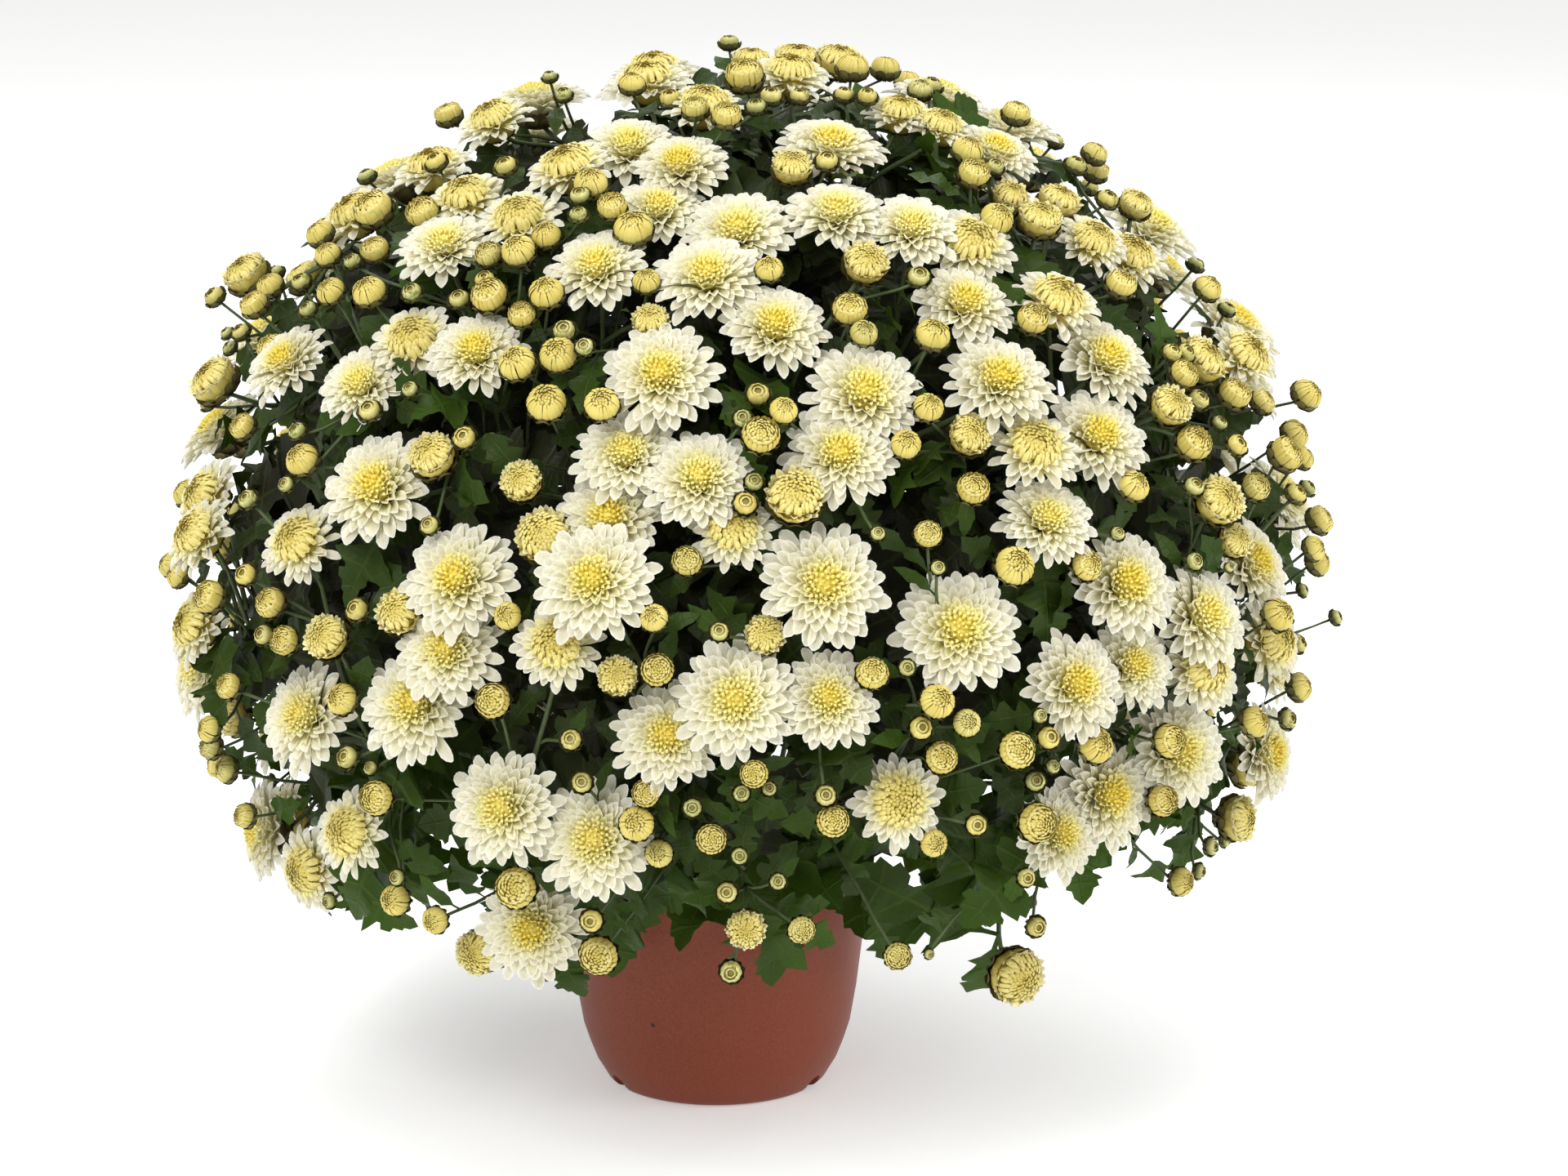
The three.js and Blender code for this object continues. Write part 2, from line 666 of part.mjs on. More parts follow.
// The compost has a hole for the foot of each main stem
for (const { points } of stems) {
  const ends = [COMPOST_TOP - HOLE_DEPTH, COMPOST_TOP + 1].map((height) => points[0].clone().setZ(height));
  const radius = STEM_RADIUS + 1.4 * GAP;
  const hole = skin(limbLoops(ends, [radius, radius], STEM_SIDES, STEM_GUIDE));
  compost.solids[0] = compost.solids[0].subtract(hole);
}

// ---------------------------------------------------------------------------------------------
// The scene graph

const TERRACOTTA = new THREE.MeshStandardMaterial({ color: 0x7c4236, roughness: 0.6, metalness: 0 });
const COMPOST = new THREE.MeshStandardMaterial({ color: 0x2a2018, roughness: 0.95, metalness: 0 });
const FOLIAGE = new THREE.MeshStandardMaterial({ color: 0x35502a, roughness: 0.55, metalness: 0 });
const PETALS = new THREE.MeshStandardMaterial({ color: 0xf1efdc, roughness: 0.6, metalness: 0 });

const plant = new THREE.Group();

function addMesh(name, { solids }, material) {
  const mesh = joined(solids).getMesh();
  const geometry = new THREE.BufferGeometry();
  geometry.setAttribute("position", new THREE.BufferAttribute(mesh.vertProperties, 3));
  geometry.setIndex(new THREE.BufferAttribute(mesh.triVerts, 1));
  geometry.computeVertexNormals();
  const piece = new THREE.Mesh(geometry, material.clone());
  piece.name = name;
  plant.add(piece);
}

const numbered = (word, at) => `${word}_${String(at + 1).padStart(2, "0")}`;

addMesh("pot", pot, TERRACOTTA);
addMesh("compost", compost, COMPOST);
stems.forEach((stem, at) => addMesh(numbered("leafy_stem", at), stem, FOLIAGE));
bunches.forEach((bunch, at) => addMesh(numbered("bloom_bunch", at), bunch, PETALS));

export default plant;
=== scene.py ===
# %% [markdown]
# # A pot chrysanthemum
# A garden chrysanthemum in a plastic nursery pot: a dome of double white heads with yellow
# centres, half-open heads, and buds in all stages, over dark cut leaves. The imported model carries
# plain solids of the pot, the compost, the leafy stems and the bunches of heads. This script
# dresses each of them with finer pieces in the same place.

import bpy
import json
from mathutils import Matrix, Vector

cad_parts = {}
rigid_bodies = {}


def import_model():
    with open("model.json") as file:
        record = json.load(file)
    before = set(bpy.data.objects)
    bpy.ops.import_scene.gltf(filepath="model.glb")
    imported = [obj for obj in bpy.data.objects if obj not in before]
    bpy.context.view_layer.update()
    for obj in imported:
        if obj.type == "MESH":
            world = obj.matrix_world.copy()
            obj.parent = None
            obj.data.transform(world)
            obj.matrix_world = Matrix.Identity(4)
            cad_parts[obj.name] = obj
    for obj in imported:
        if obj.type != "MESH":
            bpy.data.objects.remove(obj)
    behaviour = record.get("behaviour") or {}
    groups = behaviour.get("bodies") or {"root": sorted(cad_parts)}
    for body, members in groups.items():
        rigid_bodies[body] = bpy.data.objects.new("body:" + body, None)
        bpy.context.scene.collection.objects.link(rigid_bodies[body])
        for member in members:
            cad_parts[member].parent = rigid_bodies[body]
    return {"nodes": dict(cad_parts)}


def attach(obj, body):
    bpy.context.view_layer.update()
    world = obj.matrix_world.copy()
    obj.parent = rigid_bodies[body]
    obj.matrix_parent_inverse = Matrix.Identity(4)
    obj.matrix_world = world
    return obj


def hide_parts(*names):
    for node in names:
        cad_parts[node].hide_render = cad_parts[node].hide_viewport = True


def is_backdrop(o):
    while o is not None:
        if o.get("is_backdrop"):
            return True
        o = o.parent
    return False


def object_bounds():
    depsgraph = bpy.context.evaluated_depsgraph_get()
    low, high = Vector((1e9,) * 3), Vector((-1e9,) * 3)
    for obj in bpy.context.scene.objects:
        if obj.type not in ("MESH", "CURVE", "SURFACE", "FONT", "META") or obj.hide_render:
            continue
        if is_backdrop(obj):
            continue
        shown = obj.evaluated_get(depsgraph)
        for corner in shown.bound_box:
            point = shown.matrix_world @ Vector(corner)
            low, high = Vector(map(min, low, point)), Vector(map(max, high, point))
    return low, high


# The cube, lamp and camera that Blender starts with go first
for leftover in list(bpy.data.objects):
    bpy.data.objects.remove(leftover)
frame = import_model()
cad_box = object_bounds()

import json
import math
from types import SimpleNamespace

import bmesh
from mathutils import Matrix, Vector, noise
from mathutils.bvhtree import BVHTree

MM = 0.001
print("nodes in the frame:", len(frame["nodes"]))

# %% [markdown]
# ## Camera, light and floor
# A long lens from a few steps away keeps the dome's outline calm. The plant stands on a pale floor
# in soft light from all round. Broad lamps in front, at the right, behind and overhead give the
# heads their form. The leaves between them stay dark, in shadow and with painted shade on those
# deep inside the dome.

# %% Camera
STATION = (32.0, -2600.0, 895.0)  # millimetres, where the viewer stands
LOOK_DOWN = math.radians(14.18)
LENS = 131.74  # millimetres, on a sensor 36 wide

camera_data = bpy.data.cameras.new("camera")
camera_data.lens = LENS
camera_data.sensor_width = 36
camera_data.clip_end = 30
camera = bpy.data.objects.new("camera", camera_data)
camera.location = Vector(STATION) * MM
camera.rotation_euler = (math.pi / 2 - LOOK_DOWN, 0, 0)
bpy.context.scene.collection.objects.link(camera)
bpy.context.scene.camera = camera
print("the camera looks down by", round(math.degrees(LOOK_DOWN), 1), "degrees")


# %% Light
def soft_lamp(name, place, aim, size, watts):
    data = bpy.data.lights.new(name, "AREA")
    data.size = size
    data.energy = watts
    lamp = bpy.data.objects.new(name, data)
    lamp.location = place
    lamp.rotation_euler = (Vector(aim) - Vector(place)).to_track_quat("-Z", "Y").to_euler()
    bpy.context.scene.collection.objects.link(lamp)


# Places and sizes in metres
PLANT_MIDDLE = (0, 0, 0.28)
soft_lamp("front_lamp", (-0.9, -1.9, 1.75), PLANT_MIDDLE, 1.1, 38)
soft_lamp("side_lamp", (1.9, -0.7, 1.1), PLANT_MIDDLE, 1.4, 24)
soft_lamp("back_lamp", (0.3, 1.8, 1.9), PLANT_MIDDLE, 1.6, 18)
soft_lamp("sky_lamp", (-0.2, -0.3, 2.6), PLANT_MIDDLE, 1.8, 34)

world = bpy.data.worlds.new("studio")
world.use_nodes = True
world.node_tree.nodes["Background"].inputs["Color"].default_value = (1, 1, 1, 1)
world.node_tree.nodes["Background"].inputs["Strength"].default_value = 0.52
bpy.context.scene.world = world
bpy.context.scene.view_settings.view_transform = "Standard"


# %% [markdown]
# ## Helpers for materials
# Each finish is one Principled shader. What is the same all over goes on its own sockets, and
# what changes over a surface comes from a few nodes in front of it.

# %% Helpers for materials
class Finish:
    """A material under construction, with short names for the nodes that this object needs."""

    def __init__(self, name, roughness, specular=0.5):
        self.material = bpy.data.materials.new(name)
        self.material.use_nodes = True
        self.tree = self.material.node_tree
        self.shader = self.tree.nodes["Principled BSDF"]
        self.output = self.tree.nodes["Material Output"]
        self.set("Roughness", roughness)
        self.set("Specular IOR Level", specular)

    def set(self, socket, value):
        self.shader.inputs[socket].default_value = value

    def link(self, source, socket):
        self.tree.links.new(source, self.shader.inputs[socket])

    def node(self, kind, **values):
        made = self.tree.nodes.new("ShaderNode" + kind)
        for key, value in values.items():
            setattr(made, key, value)
        return made

    def feed(self, node, socket, source):
        if isinstance(source, bpy.types.NodeSocket):
            self.tree.links.new(source, node.inputs[socket])
        else:
            node.inputs[socket].default_value = source

    def objectspace(self):
        return self.node("TexCoord").outputs["Object"]

    def attribute(self, name):
        return self.node("Attribute", attribute_name=name).outputs["Fac"]

    def blade_map(self):
        return self.node("UVMap", uv_map="blade").outputs["UV"]

    def place_on_blade(self):
        """How far aside of a blade's midrib a point is, from 0 to 0.5, and how far along it."""
        split = self.node("SeparateXYZ")
        self.feed(split, "Vector", self.blade_map())
        aside = self.math("ABSOLUTE", self.math("SUBTRACT", split.outputs["X"], 0.5))
        return aside, split.outputs["Y"]

    def noise(self, vector, scale, detail=3.0, roughness=0.55):
        made = self.node("TexNoise")
        self.feed(made, "Vector", vector)
        self.feed(made, "Scale", scale)
        self.feed(made, "Detail", detail)
        self.feed(made, "Roughness", roughness)
        return made.outputs["Fac"]

    def math(self, operation, a, b=0.0):
        made = self.node("Math", operation=operation)
        self.feed(made, 0, a)
        self.feed(made, 1, b)
        return made.outputs["Value"]

    def band(self, value, low, high, out_low=0.0, out_high=1.0):
        made = self.node("MapRange")
        for socket, source in zip(("Value", "From Min", "From Max", "To Min", "To Max"),
                                  (value, low, high, out_low, out_high)):
            self.feed(made, socket, source)
        return made.outputs["Result"]

    def mix(self, factor, a, b):
        made = self.node("Mix", data_type="RGBA")
        self.feed(made, 0, factor)
        self.feed(made, 6, a)
        self.feed(made, 7, b)
        return made.outputs[2]

    def bump(self, height, strength, distance):
        made = self.node("Bump")
        self.feed(made, "Strength", strength)
        self.feed(made, "Distance", distance)
        self.feed(made, "Height", height)
        self.link(made.outputs["Normal"], "Normal")
        return made.outputs["Normal"]

    def shine_through(self, colour, share, normal=None):
        """Mixes in light that passes through a thin petal or leaf."""
        behind = self.node("BsdfTranslucent")
        self.feed(behind, "Color", colour)
        if normal is not None:
            self.feed(behind, "Normal", normal)
        blended = self.node("MixShader")
        self.feed(blended, 0, share)
        self.tree.links.new(self.shader.outputs[0], blended.inputs[1])
        self.tree.links.new(behind.outputs[0], blended.inputs[2])
        self.tree.links.new(blended.outputs[0], self.output.inputs["Surface"])


def linear(red, green, blue):
    """A colour from its screen values, 0 to 255, as the shader wants it."""
    def light(value):
        return ((value / 255 + 0.055) / 1.055) ** 2.4 if value > 10 else value / 3295

    return light(red), light(green), light(blue), 1


# %% Floor
FLOOR_REACH, FLOOR_DROP = 12, 0.0003  # metres out to each side, and below the pot's foot


def floor_finish():
    finish = Finish("pale_floor", 0.7, 0.2)
    grain = finish.noise(finish.objectspace(), 3.0)
    finish.link(finish.mix(grain, linear(244, 244, 243), linear(248, 248, 247)), "Base Color")
    finish.set("Emission Color", (1, 1, 1, 1))
    finish.set("Emission Strength", 0.32)
    return finish.material


def lay_floor():
    data = bpy.data.meshes.new("floor")
    sheet = bmesh.new()
    bmesh.ops.create_grid(sheet, x_segments=1, y_segments=1, size=FLOOR_REACH)
    bmesh.ops.translate(sheet, verts=sheet.verts, vec=(0, 0, -FLOOR_DROP))
    sheet.to_mesh(data)
    sheet.free()
    data.materials.append(floor_finish())
    floor = bpy.data.objects.new("floor", data)
    bpy.context.scene.collection.objects.link(floor)
    floor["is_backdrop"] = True


lay_floor()
print("camera, lamps and floor stand")

# %% [markdown]
# ## Where the heads are
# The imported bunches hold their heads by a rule: the front ones from a table on the front
# elevation, those behind by seeded draws in the largest gaps, then all pushed apart along an
# ellipsoid. The same rule runs again here, in millimetres, so that each fine head comes exactly
# where its plain one is. Plain tuples keep full precision, which Blender's vectors don't.

# %% Vectors as tuples
GOLDEN_ANGLE = math.radians(137.508)


def blend(*terms):
    """A weighted sum of vectors, given as pairs of weight and vector."""
    return tuple(sum(weight * vector[i] for weight, vector in terms) for i in range(3))


def dot(a, b):
    return a[0] * b[0] + a[1] * b[1] + a[2] * b[2]


def cross(a, b):
    return (a[1] * b[2] - a[2] * b[1], a[2] * b[0] - a[0] * b[2], a[0] * b[1] - a[1] * b[0])


def unit(a):
    length = math.sqrt(dot(a, a))
    return (a[0] / length, a[1] / length, a[2] / length)


def towards(start, end):
    return unit((end[0] - start[0], end[1] - start[1], end[2] - start[2]))


def between(start, end, share):
    return blend((1 - share, start), (share, end))


def square_to(axis, guide):
    """Two directions square to an axis, the first as near to a guide as it can be."""
    side = unit(blend((1, guide), (-dot(guide, axis), axis)))
    return SimpleNamespace(axis=axis, side=side, across=cross(axis, side))


def make_draw(seed):
    """A seeded draw between 0 and 1."""
    state = seed

    def draw():
        nonlocal state
        state = (state * 1103515245 + 12345) & 0x7FFFFFFF
        return state / 2147483648

    return draw


# %% Heads on the front elevation
# Full heads, half-open heads and buds on the front elevation: across from the pot's axis,
# height, diameter
FRONT_BLOOMS = [
    (-41, 452, 38), (-16, 442, 36), (-27, 426, 36), (-5, 469, 29), (55, 452, 47), (87, 465, 22),
    (105, 458, 20), (131, 447, 37), (11, 415, 46), (58, 419, 41), (92, 409, 36), (120, 403, 34),
    (-3, 386, 46), (28, 363, 43), (-55, 391, 42), (-118, 426, 32), (-92, 415, 32), (-126, 400, 39),
    (-68, 439, 34), (-112, 350, 39), (-144, 357, 32), (-166, 335, 35), (-200, 345, 35), (-243, 262, 31),
    (-198, 258, 31), (-158, 285, 53), (-121, 240, 51), (-127, 206, 45), (-145, 177, 54), (-199, 171, 47),
    (-175, 115, 31), (-102, 127, 49), (-58, 110, 51), (-89, 67, 47), (-25, 339, 49), (-44, 300, 42),
    (-8, 289, 45), (-54, 271, 45), (-55, 241, 52), (-75, 208, 31), (8, 265, 29), (70, 330, 52),
    (57, 300, 45), (48, 235, 54), (117, 214, 56), (11, 185, 52), (53, 181, 40), (-24, 162, 43),
    (88, 129, 34), (119, 376, 41), (133, 336, 46), (159, 373, 34), (185, 348, 43), (150, 303, 34),
    (183, 310, 45), (157, 269, 38), (196, 238, 50), (231, 220, 47), (202, 197, 35), (169, 189, 44),
    (222, 155, 47), (190, 131, 48), (163, 115, 35), (266, 154, 42), (247, 348, 31), (197, 398, 30),
    (177, 404, 25), (259, 248, 42), (267, 210, 33), (231, 199, 32),
]
FRONT_HALF_OPEN = [
    (-230, 336, 25), (-214, 386, 23), (-133, 300, 22), (-146, 226, 21), (-115, 56, 21), (-78, 264, 25),
    (-91, 289, 19), (41, 285, 26), (247, 125, 23), (143, 46, 27), (227, 347, 24), (161, 424, 21),
    (147, 414, 21), (140, 423, 18), (192, 418, 17), (233, 277, 24), (209, 324, 20), (-180, 214, 21),
    (70, 393, 21), (36, 440, 19), (14, 71, 18), (240, 263, 17), (-30, 365, 17), (120, 312, 20),
    (-46, 195, 18), (27, 213, 18),
]
FRONT_BUDS = [
    (63, 482, 15), (14, 476, 17), (135, 457, 13), (121, 404, 15), (-56, 428, 15), (-87, 418, 16),
    (-152, 413, 18), (-133, 415, 15), (-176, 402, 13), (-155, 376, 15), (-88, 395, 15), (-42, 403, 17),
    (-101, 374, 16), (-75, 375, 15), (-228, 379, 11), (-205, 369, 13), (62, 370, 15), (100, 358, 15),
    (179, 421, 11), (226, 380, 13), (236, 334, 15), (253, 327, 12), (268, 329, 15), (219, 307, 16),
    (269, 312, 14), (259, 301, 16), (271, 293, 11), (263, 283, 11), (279, 251, 13), (258, 229, 15),
    (-88, 343, 16), (-72, 348, 16), (-76, 325, 17), (-48, 321, 15), (21, 309, 16), (136, 249, 17),
    (-102, 185, 15), (105, 192, 15), (138, 162, 16), (147, 128, 17), (-37, 126, 15), (-92, 96, 18),
    (-55, 61, 17), (-154, 140, 15), (-234, 234, 15), (-189, 299, 15), (220, 95, 13), (213, 163, 15),
    (174, 168, 16),
]
print("heads on the front:", len(FRONT_BLOOMS + FRONT_HALF_OPEN + FRONT_BUDS))

# %% The dome
DOME_CENTRE = (13.0, 0.0, 250.0)
DOME_SHAPE = (262.0, 262.0, 235.0)  # half its width, depth and height
CROWN = (6.0, 0.0, 128.0)  # where the main stems part
UP = (0.0, 0.0, 1.0)


def dome_level(point):
    """How far out a point is, where 1 is on the dome."""
    return math.hypot(*((point[i] - DOME_CENTRE[i]) / DOME_SHAPE[i] for i in range(3)))


def dome_normal(point):
    return unit(tuple((point[i] - DOME_CENTRE[i]) / DOME_SHAPE[i] ** 2 for i in range(3)))


def on_dome(across, height):
    """Where the sight line to a point of the front elevation meets the dome, or is closest to it."""
    sight = (across - STATION[0], -STATION[1], height - STATION[2])
    eye = tuple((STATION[i] - DOME_CENTRE[i]) / DOME_SHAPE[i] for i in range(3))
    ray = tuple(sight[i] / DOME_SHAPE[i] for i in range(3))
    nearest = -dot(eye, ray) / dot(ray, ray)
    miss = dot(eye, eye) - nearest * nearest * dot(ray, ray)
    back = math.sqrt((1 - miss) / dot(ray, ray)) if miss < 1 else 0
    return blend((1, STATION), (nearest - back, sight))


# %% Heads keep clear of each other
# For each stage: how deep a head may sit in the dome, how much that varies, and how far below and
# above its middle the plain head starts and ends, as a share of its radius
STAGES = {
    "bloom": SimpleNamespace(sunk=0.045, play=0.03, base=0.3, peak=0.34),
    "half": SimpleNamespace(sunk=0.02, play=0.03, base=0.62, peak=0.4),
    "bud": SimpleNamespace(sunk=0.0, play=0.035, base=0.85, peak=0.42),
}


def make_head(stage, place, diameter, draw):
    level = max(dome_level(place), 1) - STAGES[stage].sunk + STAGES[stage].play * draw()
    return SimpleNamespace(stage=stage, place=place, radius=diameter / 2, level=level)


def spacing(a, b):
    """How far apart two heads have to stand."""
    if a.stage == "bloom" and b.stage == "bloom":
        return 0.62 * (a.radius + b.radius)
    if a.stage == "bloom":
        return a.radius + 0.5 * b.radius
    if b.stage == "bloom":
        return b.radius + 0.5 * a.radius
    return a.radius + b.radius + 1


def settle(heads, fixed, rounds):
    """Heads that stand too close push each other along the dome, the larger one less."""
    for _ in range(rounds):
        for i in range(fixed, len(heads)):
            a = heads[i]
            for j in range(i):
                b = heads[j]
                short = spacing(a, b) - math.dist(a.place, b.place)
                if short <= 0:
                    continue
                share = 1 if j < fixed else b.radius / (a.radius + b.radius)
                away = towards(b.place, a.place)
                a.place = blend((1, a.place), (short * share, away))
                b.place = blend((1, b.place), (-short * (1 - share), away))
        for head in heads[fixed:]:
            stretch = head.level / dome_level(head.place)
            head.place = blend((1 - stretch, DOME_CENTRE), (stretch, head.place))


# %% Heads round the sides and the back
# Stage, front table, count behind, smallest and largest diameter behind
HEAD_ROWS = [
    ("bloom", FRONT_BLOOMS, 54, 40, 52),
    ("half", FRONT_HALF_OPEN, 12, 19, 26),
    ("bud", FRONT_BUDS, 16, 12, 16),
]
CANDIDATES = 5
LOWEST_DRAW, DRAW_RANGE = -0.56, 1.52  # of the height on the dome, as a share of its rise


def roomiest(heads, radius, draw, wanted=CANDIDATES, seen=0.02, reach=DRAW_RANGE):
    """A point of the dome, off what the viewer sees, with the most room round it."""
    best, best_room, tries = None, -math.inf, 0
    while tries < wanted:
        height = LOWEST_DRAW + reach * draw()
        angle = 2 * math.pi * draw()
        level = math.sqrt(1 - height * height)
        way = (level * math.cos(angle), level * math.sin(angle), height)
        place = tuple(DOME_CENTRE[i] + DOME_SHAPE[i] * way[i] for i in range(3))
        if dot(dome_normal(place), towards(place, STATION)) > seen:
            continue
        tries += 1
        room = min(math.dist(h.place, place) - h.radius for h in heads) - radius
        if room > best_room:
            best, best_room = place, room
    return best


# %% Lay the heads
def face_head(head, draw):
    """Mostly away from the crown, partly square to the dome, a little at random."""
    facing = unit(blend((0.7, towards(CROWN, head.place)), (0.3, dome_normal(head.place))))
    stray = (draw() - 0.5, draw() - 0.5, draw() - 0.5)
    head.normal = unit(blend((1, facing), (0.3, stray)))
    head.guide = unit((draw() - 0.5, draw() - 0.5, draw() - 0.5))


def lay_heads(draw):
    heads = []
    for stage, rows, count, smallest, largest in HEAD_ROWS:
        fixed = len(heads) if stage == "bud" else 0
        for across, height, diameter in rows:
            heads.append(make_head(stage, on_dome(across, height), diameter, draw))
        for _ in range(count):
            diameter = smallest + (largest - smallest) * draw()
            heads.append(make_head(stage, roomiest(heads, diameter / 2, draw), diameter, draw))
        settle(heads, fixed, rounds=40)
    for head in heads:
        face_head(head, draw)
    return heads


heads = lay_heads(make_draw(2024))
print("heads laid by the rule:", len(heads))

# %% [markdown]
# ## Stems, bunches and what grows where
# The main stems fan out from the crown in three rings. Each head belongs to the stem that points
# nearest to it, and the full heads of a stem are shared out in bunches round it. The packed
# solids kept clear of each other by trying several starts for a stalk and several turns for a
# leaf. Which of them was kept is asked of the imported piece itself: the right one lies on its
# surface.

# %% Main stems and bunches
STEM_RINGS = [(1, 90, 0, 225), (5, 54, 18, 200), (8, 17, 8, 165)]  # count, elevation, turn, reach
STEM_SPREAD, STEM_BOW = 40, 9
KNEE_RISE, BOW_SHARE = 8, 0.45  # where a stem starts to lean, and where it bows most
STEM_RADIUS, STEM_TIP_RADIUS, STALK_RADIUS = 2.6, 1.5, 1.2
STEM_GUIDE = (0.8, 0.5, 0.33)  # where the first side of a stem points
COMPOST_TOP, HOLE_DEPTH, GAP = 108, 18, 0.35
LEADER_SHARES = (0.75, 0.9, 0.6, 0.45, 0.3)  # where a bunch may leave its main stem
BRANCH_SHARES = (0.2, 0.3, 0.4, 0.5, 0.6, 0.7, 0.8)  # where a stalk may leave the leading one
BEST_SLANT, SLANT_COST = 0.75, 60  # cosine between the two, and millimetres that one off it costs
BLOOMS_A_BUNCH = 2.85
CUP_WIDTH = 0.17  # the plain cup's radius, as a share of the head's
LIFTS = (0, 4, -4, 8, -8, 12, -12)  # steps up or down to a clear place
TOUCH = 0.03  # millimetres within which a point counts as on a packed surface
TESTED_SHARE = 0.6  # of a stalk's edge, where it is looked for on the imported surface


def whole(value):
    """The nearest whole number, with halves rounded up."""
    return math.floor(value + 0.5)


def make_stem(index, elevation, angle, reach):
    rise = math.radians(elevation)
    level = math.cos(rise)
    out = (level * math.cos(angle), level * math.sin(angle), math.sin(rise))
    foot = blend((1, CROWN), (STEM_SPREAD, out))
    tip = blend((1, CROWN), (reach, out))
    low = (foot[0], foot[1], COMPOST_TOP - HOLE_DEPTH + GAP)
    knee = (foot[0], foot[1], COMPOST_TOP + KNEE_RISE)
    straight = between(knee, tip, BOW_SHARE)
    bow = (straight[0], straight[1], straight[2] + STEM_BOW)
    return SimpleNamespace(index=index, out=out, points=(low, knee, bow, tip),
                           heads=[], bunches=[], leaves=[])


# %% Heads shared out in bunches
def make_bunches(stem):
    frame_round = square_to(stem.out, (0.3, 0.2, -0.9))

    def around(head):
        way = towards(CROWN, head.place)
        return math.atan2(dot(way, frame_round.across), dot(way, frame_round.side))

    full = sorted((h for h in stem.heads if h.stage == "bloom"), key=around)
    count = whole(len(full) / BLOOMS_A_BUNCH)
    for i in range(count):
        members = full[whole(i * len(full) / count):whole((i + 1) * len(full) / count)]
        middle = blend(*((1 / len(members), head.place) for head in members))
        members.sort(key=lambda head: math.dist(head.place, middle))
        stem.bunches.append(SimpleNamespace(members=members, stem=stem))


stems = []
for count, elevation, turn, reach in STEM_RINGS:
    for i in range(count):
        stems.append(make_stem(len(stems) + 1, elevation, math.radians(turn + 360 * i / count), reach))
for head in heads:
    way = towards(CROWN, head.place)
    max(stems, key=lambda stem: dot(stem.out, way)).heads.append(head)
for stem in stems:
    make_bunches(stem)
bunches = [bunch for stem in stems for bunch in stem.bunches]


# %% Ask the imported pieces
def packed_surface(name):
    mesh = frame["nodes"][name].data
    return BVHTree.FromPolygons([v.co for v in mesh.vertices], [p.vertices[:] for p in mesh.polygons])


def lies_on(surface, points):
    return all(surface.find_nearest(Vector(point) * MM)[3] < TOUCH * MM for point in points)


def foot_of(head):
    return blend((1, head.place), (-STAGES[head.stage].base * head.radius, head.normal))


def corners(centre, frame_round, radius):
    turns = (0, 2 * math.pi / 3, 4 * math.pi / 3)
    return [blend((1, centre), (radius * math.cos(turn), frame_round.side),
                  (radius * math.sin(turn), frame_round.across)) for turn in turns]


def stalk_corners(head, start):
    """The corners of the plain stalk at its start and under its head."""
    head_frame = square_to(head.normal, head.guide)
    foot = foot_of(head)
    way = square_to(towards(start, foot), head_frame.side)
    return corners(start, way, STALK_RADIUS), corners(foot, head_frame, CUP_WIDTH * head.radius)


def beside_stem(stem, share, head):
    _, _, bow, tip = stem.points
    point = between(bow, tip, share)
    side = square_to(towards(bow, tip), towards(point, head.place)).side
    return blend((1, point), (STEM_RADIUS + STALK_RADIUS + GAP, side))


# %% Which head leads a bunch
def lift_on(bunch, head):
    """Steps the head up or down to where the bunch has it. False if the bunch doesn't have it."""
    rest = head.place
    for lift in LIFTS:
        place = blend((1, rest), (lift, head.normal))
        peak = STAGES[head.stage].peak * head.radius
        if lies_on(bunch.surface, [blend((1, place), (peak, head.normal))]):
            head.place = place
            return True
    return False


def find_leader(bunch):
    """The head near the middle of its bunch whose stalk starts beside the main stem."""
    for leader in bunch.members:
        rest = leader.place
        starts = [beside_stem(bunch.stem, share, leader) for share in LEADER_SHARES]
        if lift_on(bunch, leader):
            for start in starts:
                if lies_on(bunch.surface, stalk_corners(leader, start)[0]):
                    leader.start, leader.bunch, bunch.leader = start, bunch, leader
                    leader.trunk_way = towards(bunch.stem.points[2], bunch.stem.points[3])
                    return
        leader.place = rest
    raise SystemExit(bunch.node + " has no leading head: pack again")


# %% Where the other heads branch off
def find_branch(head):
    """Notes from which stalk a head branches. False if no bunch holds it."""
    for bunch in bunches:
        if not lift_on(bunch, head):
            continue
        end = foot_of(bunch.leader)
        for share in BRANCH_SHARES:
            start = between(bunch.leader.start, end, share)
            low, high = stalk_corners(head, start)
            if lies_on(bunch.surface, [between(a, b, TESTED_SHARE) for a, b in zip(low, high)]):
                head.start, head.bunch = start, bunch
                head.trunk_way = towards(bunch.leader.start, end)
                return True
    return False


for number, bunch in enumerate(bunches, 1):
    bunch.node = f"bloom_bunch_{number:02d}"
    bunch.surface = packed_surface(bunch.node)
    find_leader(bunch)
leading = {id(bunch.leader) for bunch in bunches}
packed_heads = [head for head in heads if id(head) in leading or find_branch(head)]
print("bunches:", len(bunches), "heads on them:", len(packed_heads), "of", len(heads))


# %% Leaves of the main stems
LEAF_LENGTH = 46
LEAF_SHARES, LEAF_TRIES = (0.2, 0.45, 0.7, 0.92), 5  # along the upper part of a main stem
# Leaves over the rim: share of the way up, outwards, down, aside, length
RIM_LEAVES = [(0.95, 0.35, 0.9, 0.3, 58), (0.6, 0.8, 0.4, -0.8, 50)]
LEAF_STALK, LEAF_DROOP, LEAF_FOLD = 0.26, 0.28, 0.25  # as shares of the length of the blade
LEAF_ALONG, LEAF_ASIDE = 0.75, 0.65  # how much a leaf follows its stem, and stands off it
TIP_LIFT = 0.4  # from the midrib to the upper face of a plain leaf's tip


def make_leaf(root, along, guide, length):
    upper = unit(blend((1, guide), (-dot(guide, along), along)))
    return SimpleNamespace(root=root, along=along, upper=upper, length=length)


